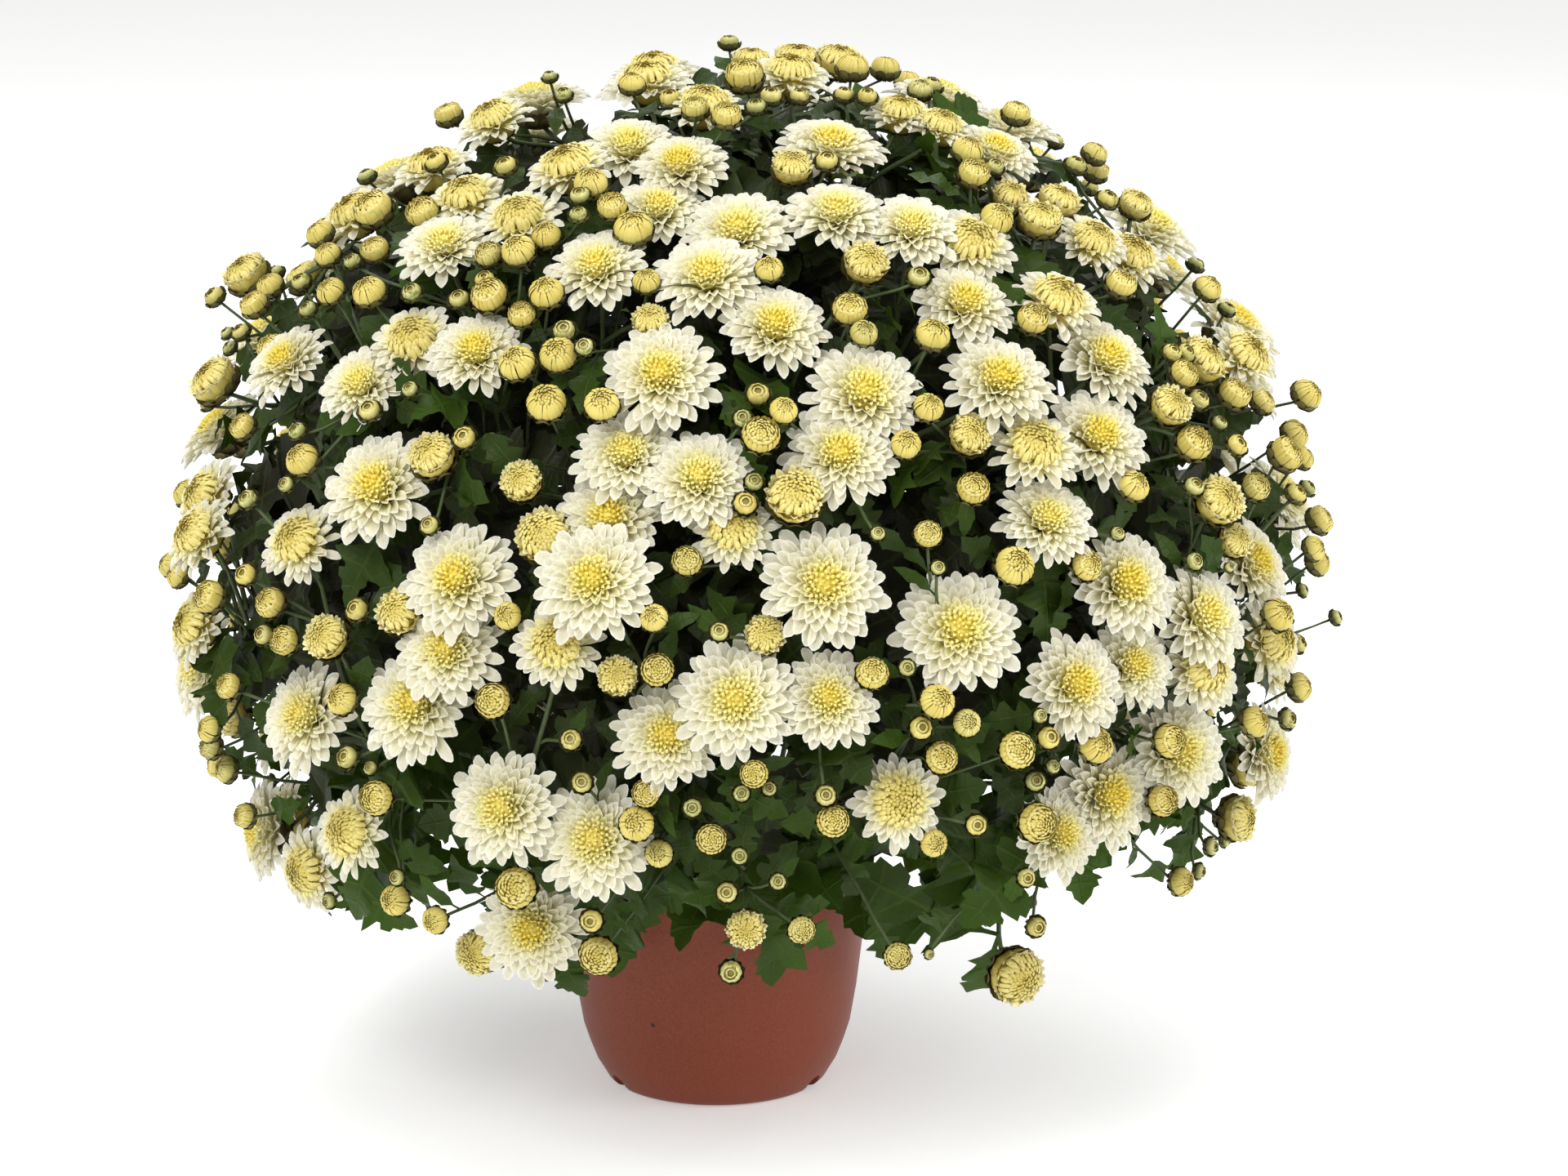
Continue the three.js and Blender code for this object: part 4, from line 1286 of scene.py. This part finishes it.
LEAVES = [leaf_pattern(f"leaf_{i}", LEAF_OUTLINE, 0.25 + 0.1 * i, shape_draw) for i in range(4)]
SMALL_LEAVES = [leaf_pattern(f"small_leaf_{i}", SMALL_OUTLINE, 0.3, shape_draw) for i in range(3)]
LEAFLETS = [leaf_pattern(f"leaflet_{i}", LEAFLET_OUTLINE, 0.3, shape_draw) for i in range(2)]
print("triangles in a leaf, a small one and a leaflet:",
      [triangles(kind[0]) for kind in (LEAVES, SMALL_LEAVES, LEAFLETS)])


# %% Stalk pattern
def tube_pattern(name, sides, rings):
    """A tube of unit radius and length along Z, with loops to bend it at."""
    sheet = new_sheet()
    bmesh.ops.create_cone(sheet, segments=sides, radius1=1, radius2=1, depth=1, cap_ends=True)
    bmesh.ops.translate(sheet, verts=sheet.verts, vec=(0, 0, 0.5))
    upright = [e for e in sheet.edges if abs(e.verts[0].co.z - e.verts[1].co.z) > 0.5]
    bmesh.ops.subdivide_edges(sheet, edges=upright, cuts=rings - 1)
    mark(sheet, sheet.verts, STALK)
    return patterned(name, sheet), rings


STALK_TUBE = tube_pattern("stalk_tube", 6, 5)
TWIG_TUBE = tube_pattern("twig_tube", 5, 4)
STEM_TUBE = tube_pattern("stem_tube", 8, 12)
print("triangles in a stalk, a twig and a main stem:",
      [triangles(tube[0]) for tube in (STALK_TUBE, TWIG_TUBE, STEM_TUBE)])


# %% [markdown]
# ## Putting the pieces together
# Each packed bunch gets two pieces: its flowers, and the green that carries them. A pattern is
# copied, given its tint, moved into place and added to the piece's mesh.

# %% Copying patterns into place
def put(sheet, pattern, matrix, tint, ripe_or_sunlit=1.0):
    """Adds a moved copy of a pattern. The tint shifts the one that the pattern has."""
    copy = pattern.copy()
    values = [0.0] * len(copy.vertices)
    copy.attributes["tint"].data.foreach_get("value", values)
    copy.attributes["tint"].data.foreach_set("value", [0.6 * value + 0.4 * tint for value in values])
    # On leaves this value is painted sunlight; on buds and their cups it is ripeness.
    copy.attributes["ripe_or_sunlit"].data.foreach_set("value", [ripe_or_sunlit] * len(values))
    copy.transform(matrix)
    sheet.from_mesh(copy)
    bpy.data.meshes.remove(copy)


def placed(origin, x_way, y_way, z_way, size):
    """The matrix that takes unit patterns in millimetres to their place in metres."""
    columns = [Vector(way) * size * MM for way in (x_way, y_way, z_way)]
    return Matrix.Translation(Vector(origin) * MM) @ Matrix(columns).transposed().to_4x4()


def put_bent(sheet, tube, path, radius_at):
    """Adds a tube that follows a path: path gives a point and a direction for a share of it."""
    pattern, rings = tube
    copy = pattern.copy()
    loops = []
    for ring in range(rings + 1):
        share = ring / rings
        point, way = path(share)
        loops.append((point, square_to(way, STEM_GUIDE), radius_at(share)))
    for vertex in copy.vertices:
        point, around, radius = loops[round(vertex.co.z * rings)]
        vertex.co = Vector(blend((MM, point), (radius * vertex.co.x * MM, around.side),
                                 (radius * vertex.co.y * MM, around.across)))
    sheet.from_mesh(copy)
    bpy.data.meshes.remove(copy)


# %% Finished pieces
def finish_piece(name, sheet, node, finishes):
    data = bpy.data.meshes.new(name)
    sheet.to_mesh(data)
    sheet.free()
    for finish in finishes:
        data.materials.append(finish)
    piece = bpy.data.objects.new(name, data)
    bpy.context.scene.collection.objects.link(piece)
    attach(piece, "root")
    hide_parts(node)
    return triangles(data)


# %% [markdown]
# ## Finishes of the plant
# White petals let light through and turn to cream and lemon towards the centre, whose quills are
# golden. The petals' rims are whiter, partly their thin margin and partly painted highlight. Leaves
# are dark with lighter veins, with painted shade deep inside the dome and a painted sunlit green
# where they reach the dome's surface or hang low at its foot, and let a little light through as well.

# %% Petal finish
def petal_finish():
    finish = Finish("white_petal", 0.5, 0.35)
    aside, along = finish.place_on_blade()
    layer = finish.attribute("layer")
    tint = finish.attribute("tint")
    foot = finish.band(along, 0.8, 0.1)
    inner = finish.band(layer, 0.5, 0.9)
    cream = finish.math("MAXIMUM", finish.math("MULTIPLY", foot, finish.band(layer, 0.0, 0.9, 0.15, 1.0)),
                        finish.math("MULTIPLY", inner, 0.85))
    # The rims and tips turn whiter: partly the petal's thin pale margin, partly painted highlight.
    edge = finish.math("MAXIMUM", finish.band(aside, 0.3, 0.5), finish.band(along, 0.85, 1.0))
    white = finish.mix(tint, linear(226, 221, 198), linear(241, 238, 218))
    pale_rim_and_highlight = finish.mix(finish.math("MULTIPLY", edge, 0.85), white, linear(250, 250, 247))
    colour = finish.mix(cream, pale_rim_and_highlight, linear(251, 244, 170))
    finish.link(colour, "Base Color")
    ribs = finish.node("TexWave", bands_direction="X")
    finish.feed(ribs, "Vector", finish.blade_map())
    finish.feed(ribs, "Scale", 1.4)
    cells = finish.node("TexVoronoi", feature="F1")
    finish.feed(cells, "Vector", finish.objectspace())
    finish.feed(cells, "Scale", 520.0)
    dew = finish.band(cells.outputs["Distance"], 0.3, 0.1)
    finish.link(finish.band(dew, 0.0, 0.4, 0.5, 0.08), "Roughness")
    relief = finish.math("ADD", finish.math("MULTIPLY", ribs.outputs["Fac"], 0.4), dew)
    bumped = finish.bump(relief, 0.4, 0.0007)
    finish.shine_through(colour, 0.4, bumped)
    return finish.material


# %% Finish of the quills
def quill_finish():
    finish = Finish("golden_quill", 0.45, 0.4)
    layer = finish.attribute("layer")
    grain = finish.noise(finish.objectspace(), 900.0, 2.0)
    golden = finish.mix(grain, linear(240, 216, 70), linear(248, 230, 100))
    tip = finish.mix(finish.band(finish.attribute("tint"), 0.2, 0.75), golden, linear(252, 244, 168))
    colour = finish.mix(finish.band(layer, 0.1, 0.6), linear(238, 222, 112), tip)
    finish.link(colour, "Base Color")
    finish.shine_through(colour, 0.25)
    return finish.material


# %% Finish of curled florets
def ball_finish():
    """Curled florets: pale at the feet of the outer ring and in the outer curls, golden towards the
    centre. Painted shade darkens the feet of the inner florets and the edges where florets meet.
    """
    finish = Finish("curled_floret", 0.5, 0.35)
    layer = finish.attribute("layer")
    tint = finish.attribute("tint")
    ripe_or_sunlit = finish.attribute("ripe_or_sunlit")
    aside, along = finish.place_on_blade()
    golden = finish.mix(tint, linear(196, 177, 82), linear(222, 206, 116))
    outer = finish.mix(finish.band(along, 0.1, 0.5), linear(190, 184, 106), golden)
    # Painted shade: the inner florets darken towards their feet, where they sink between their neighbours.
    inner = finish.mix(finish.band(along, 0.1, 0.7), linear(198, 178, 78), golden)
    fringed = finish.mix(finish.band(layer, 0.5, 0.3, 0.0, 0.5), inner, linear(240, 230, 158))
    grown_or_lit = finish.mix(finish.band(layer, 0.1, 0.2), outer, fringed)
    # Painted shade: each floret darkens towards its edges, where it meets the next.
    shaded_at_joints = finish.mix(finish.band(aside, 0.36, 0.5, 0.0, 0.25), grown_or_lit, linear(188, 164, 70))
    fresh = finish.mix(tint, linear(168, 168, 100), linear(214, 210, 146))
    young = finish.mix(finish.band(along, 0.1, 0.7), linear(122, 126, 62), fresh)
    closed = finish.mix(finish.band(ripe_or_sunlit, 0.0, 0.6), young, shaded_at_joints)
    colour = finish.mix(finish.band(layer, 0.8, 1.0), closed, linear(142, 126, 52))
    finish.link(colour, "Base Color")
    grain = finish.noise(finish.objectspace(), 700.0, 2.0)
    bumped = finish.bump(grain, 0.3, 0.0005)
    finish.shine_through(colour, 0.12, bumped)
    return finish.material


# %% Green finishes
def leaf_finish():
    finish = Finish("dark_leaf", 0.42, 0.14)
    aside, along = finish.place_on_blade()
    midrib = finish.band(aside, 0.05, 0.0)
    vein = finish.math("PINGPONG", finish.math("SUBTRACT", along, 0.065), 0.0975)
    side_vein = finish.band(vein, 0.014, 0.0)
    veins = finish.math("MAXIMUM", midrib, finish.math("MULTIPLY", side_vein, 0.8))
    mottle = finish.noise(finish.objectspace(), 60.0, 4.0)
    # Painted light: leaves deep inside the dome get a painted shade, those at its surface or low at its foot
    # a painted sunlit green. The attribute that picks between them holds ripeness on buds.
    shaded = finish.mix(finish.attribute("tint"), linear(34, 32, 22), linear(46, 45, 29))
    sunny = finish.mix(finish.attribute("tint"), linear(44, 66, 12), linear(74, 108, 24))
    grown_or_lit = finish.mix(finish.attribute("ripe_or_sunlit"), shaded, sunny)
    green_blade = finish.mix(finish.band(mottle, 0.3, 0.7, 0.0, 0.35), grown_or_lit, linear(42, 49, 22))
    colour = finish.mix(finish.math("MULTIPLY", veins, 0.25), green_blade, linear(86, 108, 44))
    finish.link(colour, "Base Color")
    relief = finish.math("SUBTRACT", finish.noise(finish.objectspace(), 420.0, 3.0), veins)
    bumped = finish.bump(relief, 0.5, 0.0008)
    finish.shine_through(finish.mix(0.35, colour, linear(70, 96, 30)), 0.2, bumped)
    return finish.material


def stalk_finish():
    finish = Finish("grey_green_stalk", 0.6, 0.35)
    streaks = finish.noise(finish.objectspace(), 160.0, 3.0)
    finish.link(finish.mix(streaks, linear(50, 62, 34), linear(84, 98, 56)), "Base Color")
    finish.bump(streaks, 0.35, 0.0006)
    return finish.material


def bract_finish():
    finish = Finish("olive_bract", 0.6, 0.35)
    aside, along = finish.place_on_blade()
    tint = finish.attribute("tint")
    ripe_or_sunlit = finish.attribute("ripe_or_sunlit")
    edge = finish.math("MAXIMUM", finish.band(aside, 0.2, 0.48), finish.band(along, 0.8, 1.0))
    green = finish.mix(tint, linear(64, 76, 40), linear(98, 106, 62))
    olive = finish.mix(tint, linear(96, 94, 50), linear(128, 122, 74))
    face = finish.mix(ripe_or_sunlit, green, olive)
    finish.link(finish.mix(finish.math("MULTIPLY", edge, 0.8), face, linear(82, 62, 36)), "Base Color")
    finish.bump(finish.noise(finish.objectspace(), 500.0, 2.0), 0.4, 0.0005)
    return finish.material


FLOWER_FINISHES = [petal_finish(), quill_finish(), ball_finish()]
GREEN_FINISHES = [stalk_finish(), leaf_finish(), bract_finish()]
print("finishes:", ", ".join(finish.name for finish in FLOWER_FINISHES + GREEN_FINISHES))


# %% Bunches of flowers
RIPE_RADIUS = 5.6  # of a golden bud, at least
YOUNG_DIAMETER = 35  # of a full head whose middle is still closed, at most
TWIG_RADIUS, FLOWER_STALK_RADIUS = 0.65, 0.95
FULL_LEAF, SMALL_LEAF = 32, 19  # length above which a leaf takes the full or the small pattern


def flower_of(head, draw):
    """The pattern that suits a head's stage and size."""
    pick = draw()
    if head.stage == "bud":
        kinds = RIPE_BUDS if head.radius > RIPE_RADIUS else GREEN_BUDS
        return kinds[int(pick * len(kinds))]
    if head.stage == "half":
        return HALF_OPEN[int(pick * len(HALF_OPEN))]
    kinds = YOUNG_FLOWERS if 2 * head.radius < YOUNG_DIAMETER else OPEN_FLOWERS
    return kinds[int(pick * len(kinds))]


def ripeness(head, draw):
    """0 for a green bud, 1 for a golden one or an open head."""
    if head.stage != "bud":
        return 1.0
    return min(max((head.radius - 4.5) / 3 + swing(draw, 0.25), 0.0), 1.0)


def head_matrix(head):
    """Takes a unit head to its place. Full heads come out more alike in size than they were laid."""
    around = square_to(head.normal, head.guide)
    size = 0.7 * head.radius + 10.5 if head.stage == "bloom" else 1.04 * head.radius
    return placed(head.place, around.side, around.across, head.normal, size)


def leaf_matrix(leaf):
    across = cross(leaf.upper, leaf.along)
    return placed(leaf.root, leaf.along, [-value for value in across], leaf.upper, leaf.length)


def kinds_of_leaf(length):
    if length > FULL_LEAF:
        return LEAVES
    return SMALL_LEAVES if length > SMALL_LEAF else LEAFLETS


def sunlit(leaf):
    """How much painted sunlight a leaf gets: 0 for painted shade deep inside the dome, 1 for a sunlit
    green at its surface or low at its foot.
    """
    tip = leaf_point(leaf, 0.8)
    return min(max((dome_level(tip) - 0.82) / 0.2, (210 - tip[2]) / 50, 0.0), 1.0)


# %% Dress the bunches
dress = make_draw(321)
used = 0
for bunch in bunches:
    flowers, greens = new_sheet(), new_sheet()
    for head in all_heads:
        if head.bunch is not bunch:
            continue
        ripe_or_sunlit = ripeness(head, dress)
        put(flowers, flower_of(head, dress), head_matrix(head), dress(), ripe_or_sunlit)
        put(greens, CUP_PATTERNS[head.stage], head_matrix(head), dress(), ripe_or_sunlit)
        slim = head.stage == "bud"
        thick = TWIG_RADIUS if slim else FLOWER_STALK_RADIUS
        tube = TWIG_TUBE if slim else STALK_TUBE
        put_bent(greens, tube, stalk_path(head), lambda t: thick * (1.35 - 0.25 * t))
    for leaf in more_leaves:
        if leaf.owner is bunch:
            kinds = kinds_of_leaf(leaf.length)
            put(greens, kinds[int(dress() * len(kinds))], leaf_matrix(leaf), dress(), sunlit(leaf))
    number = bunch.node[-2:]
    used += finish_piece("flowers_" + number, flowers, bunch.node, FLOWER_FINISHES)
    used += finish_piece("stalks_" + number, greens, bunch.node, GREEN_FINISHES)
print("triangles in the bunches:", used)


# %% Main stems
used = 0
for stem in stems:
    greens = new_sheet()
    put_bent(greens, STEM_TUBE, stem_path(stem),
             lambda t: STEM_RADIUS + (STEM_TIP_RADIUS - STEM_RADIUS) * t)
    for leaf in stem.leaves + [leaf for leaf in more_leaves if leaf.owner is stem]:
        put(greens, LEAVES[int(dress() * len(LEAVES))], leaf_matrix(leaf), dress(), sunlit(leaf))
    used += finish_piece("stem_" + stem.node[-2:], greens, stem.node, GREEN_FINISHES)
print("triangles in the main stems:", used)

# %% [markdown]
# ## Pot and compost
# The nursery pot is one moulded shell: a tapered wall with a rounded foot, a step below the rim
# band, a rounded lip, and three arched openings at the foot that drain it. A profile spun round
# the axis makes the shell, and three round cutters make the openings.

# %% Pot shell
# Radius and height, from the middle of the foot up the outside and down the inside
POT_PROFILE = (
    (0, 1.0), (42, 1.0), (44.5, 0.0), (48.5, 0.0), (50.6, 0.7), (52.5, 2.5), (54.6, 6.2), (57.5, 11),
    (60.6, 19), (63.5, 28), (66.4, 45), (69, 66), (71.4, 90), (73.2, 109.6), (73.7, 111.0), (75.2, 112.0),
    (76.2, 112.9), (76.45, 118), (76.6, 123.6), (76.2, 124.7), (75.5, 125), (74.8, 124.7), (74.4, 123.8),
    (73.2, 118), (71.4, 111), (69.4, 88), (67.2, 66), (64.6, 46), (61.7, 28), (58.8, 19.5), (55.6, 11.5),
    (52.4, 5.6), (50.2, 3.2), (48, 2.6), (0, 2.6),
)
POT_STEPS = 96  # round the axis
DRAINS = (0, 120, 240)  # degrees round from the back
DRAIN_RADIUS, DRAIN_LENGTH, DRAIN_HEIGHT, DRAIN_OUT = 5.5, 20, 2, 52.5
SPECK = (-0.029, -0.0592, 0.043)  # metres, where a crumb of compost sticks to the wall
POT_CREASE = 0.6  # radians, an edge that turns further stays sharp


def pot_finish():
    finish = Finish("terracotta_plastic", 0.46, 0.22)
    cloud = finish.noise(finish.objectspace(), 9.0, 5.0)
    fine = finish.noise(finish.objectspace(), 900.0, 2.0)
    base = finish.mix(finish.band(cloud, 0.3, 0.7), linear(112, 51, 32), linear(122, 57, 37))
    plastic = finish.mix(finish.band(fine, 0.3, 0.75), base, linear(131, 66, 45))
    speck = finish.node("VectorMath", operation="DISTANCE")
    finish.feed(speck, 0, finish.objectspace())
    finish.feed(speck, 1, SPECK)
    dirt = finish.band(speck.outputs["Value"], 0.0014, 0.0008, 0.0, 0.8)
    finish.link(finish.mix(dirt, plastic, linear(38, 24, 18)), "Base Color")
    finish.bump(fine, 0.18, 0.0004)
    return finish.material


# %% Spin the pot and cut its drains
def make_pot():
    sheet = new_sheet()
    spun(sheet, [(radius * MM, height * MM) for radius, height in POT_PROFILE], POT_STEPS)
    for face in sheet.faces:
        face.smooth = True
    for edge in sheet.edges:
        edge.smooth = edge.calc_face_angle(0) < POT_CREASE
    body = patterned("pot_body", sheet)
    cutter_sheet = new_sheet()
    for turn in DRAINS:
        around = Matrix.Rotation(math.radians(turn), 4, "Z")
        outwards = Matrix.Translation((0, DRAIN_OUT * MM, DRAIN_HEIGHT * MM))
        lying = outwards @ Matrix.Rotation(math.pi / 2, 4, "X")
        bmesh.ops.create_cone(
            cutter_sheet, segments=24, radius1=DRAIN_RADIUS * MM, radius2=DRAIN_RADIUS * MM,
            depth=DRAIN_LENGTH * MM, cap_ends=True, matrix=around @ lying)
    body_object = bpy.data.objects.new("pot_shell", body)
    cutter = bpy.data.objects.new("drain_cutter", patterned("drain_cutter", cutter_sheet))
    for thing in (body_object, cutter):
        bpy.context.scene.collection.objects.link(thing)
    cut = body_object.modifiers.new("drains", "BOOLEAN")
    cut.object, cut.solver = cutter, "EXACT"
    bpy.context.view_layer.update()
    seen = body_object.evaluated_get(bpy.context.evaluated_depsgraph_get())
    shell = bpy.data.meshes.new_from_object(seen)
    for thing in (body_object, cutter):
        bpy.data.objects.remove(thing)
    sheet = bmesh.new()
    sheet.from_mesh(shell)
    print("pot triangles:", finish_piece("pot_shell", sheet, "pot", [pot_finish()]))


make_pot()


# %% Compost
# Radius and height up the side, inside the wall
COMPOST_SIDE = ((47, 3), (54.6, 12.2), (66, 66), (70.4, 106))
SURFACE_RINGS, SURFACE_STEPS = 30, 90
HEAPED_FROM = 107.5  # height above which the surface is uneven
CRUMBS, CRUMB_REACH, CRUMB_HEIGHT = 420, 69, 107.6


def compost_finish():
    finish = Finish("compost", 0.95, 0.2)
    crumbs = finish.noise(finish.objectspace(), 420.0, 4.0, 0.7)
    dark = finish.mix(finish.band(crumbs, 0.35, 0.65), linear(30, 22, 16), linear(74, 56, 40))
    finish.link(dark, "Base Color")
    finish.bump(crumbs, 0.9, 0.003)
    return finish.material


# %% Heap the compost
def make_compost():
    """A core up to the surface, whose top is heaped in crumbs."""
    sheet = new_sheet()
    edge = COMPOST_SIDE[-1][0]
    rings = [(edge * (1 - i / SURFACE_RINGS), COMPOST_TOP) for i in range(SURFACE_RINGS + 1)]
    profile = [(0, 3), *COMPOST_SIDE, *rings]
    spun(sheet, [(radius * MM, height * MM) for radius, height in profile], SURFACE_STEPS)
    for point in sheet.verts:
        if point.co.z > HEAPED_FROM * MM:
            rough = noise.fractal(point.co * 260, 1.0, 2.0, 4)
            point.co.z += 0.0022 * rough - 0.0012 + 0.002 * noise.noise(point.co * 40)
    for face in sheet.faces:
        face.smooth = True
    crumb_draw = make_draw(8)
    for _ in range(CRUMBS):
        radius, angle = CRUMB_REACH * math.sqrt(crumb_draw()), 2 * math.pi * crumb_draw()
        size = (0.9 + 1.9 * crumb_draw()) * MM
        place = Vector((radius * math.cos(angle), radius * math.sin(angle), CRUMB_HEIGHT)) * MM
        squeeze = Matrix.Diagonal((1, 0.6 + 0.4 * crumb_draw(), 0.6, 1))
        turned = Matrix.Rotation(6 * crumb_draw(), 4, "Z")
        bmesh.ops.create_icosphere(sheet, subdivisions=1, radius=size,
                                   matrix=Matrix.Translation(place) @ turned @ squeeze)
    used = finish_piece("compost_top", sheet, "compost", [compost_finish()])
    print("compost triangles:", used)


make_compost()

# %% [markdown]
# ## Measure and finish
# The boxes of the imported plant and of the dressed one are measured and printed, in millimetres.
# The dressed plant has to keep the size of the imported one.

# %% Sizes
final_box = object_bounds()
sizes = {"cad": [list(corner) for corner in cad_box], "visual": [list(corner) for corner in final_box]}
for name, (low, high) in sizes.items():
    print(name, "box, mm:", [round((b - a) / MM, 1) for a, b in zip(low, high)])
for data in list(bpy.data.meshes):
    if data.users == 0:
        bpy.data.meshes.remove(data)
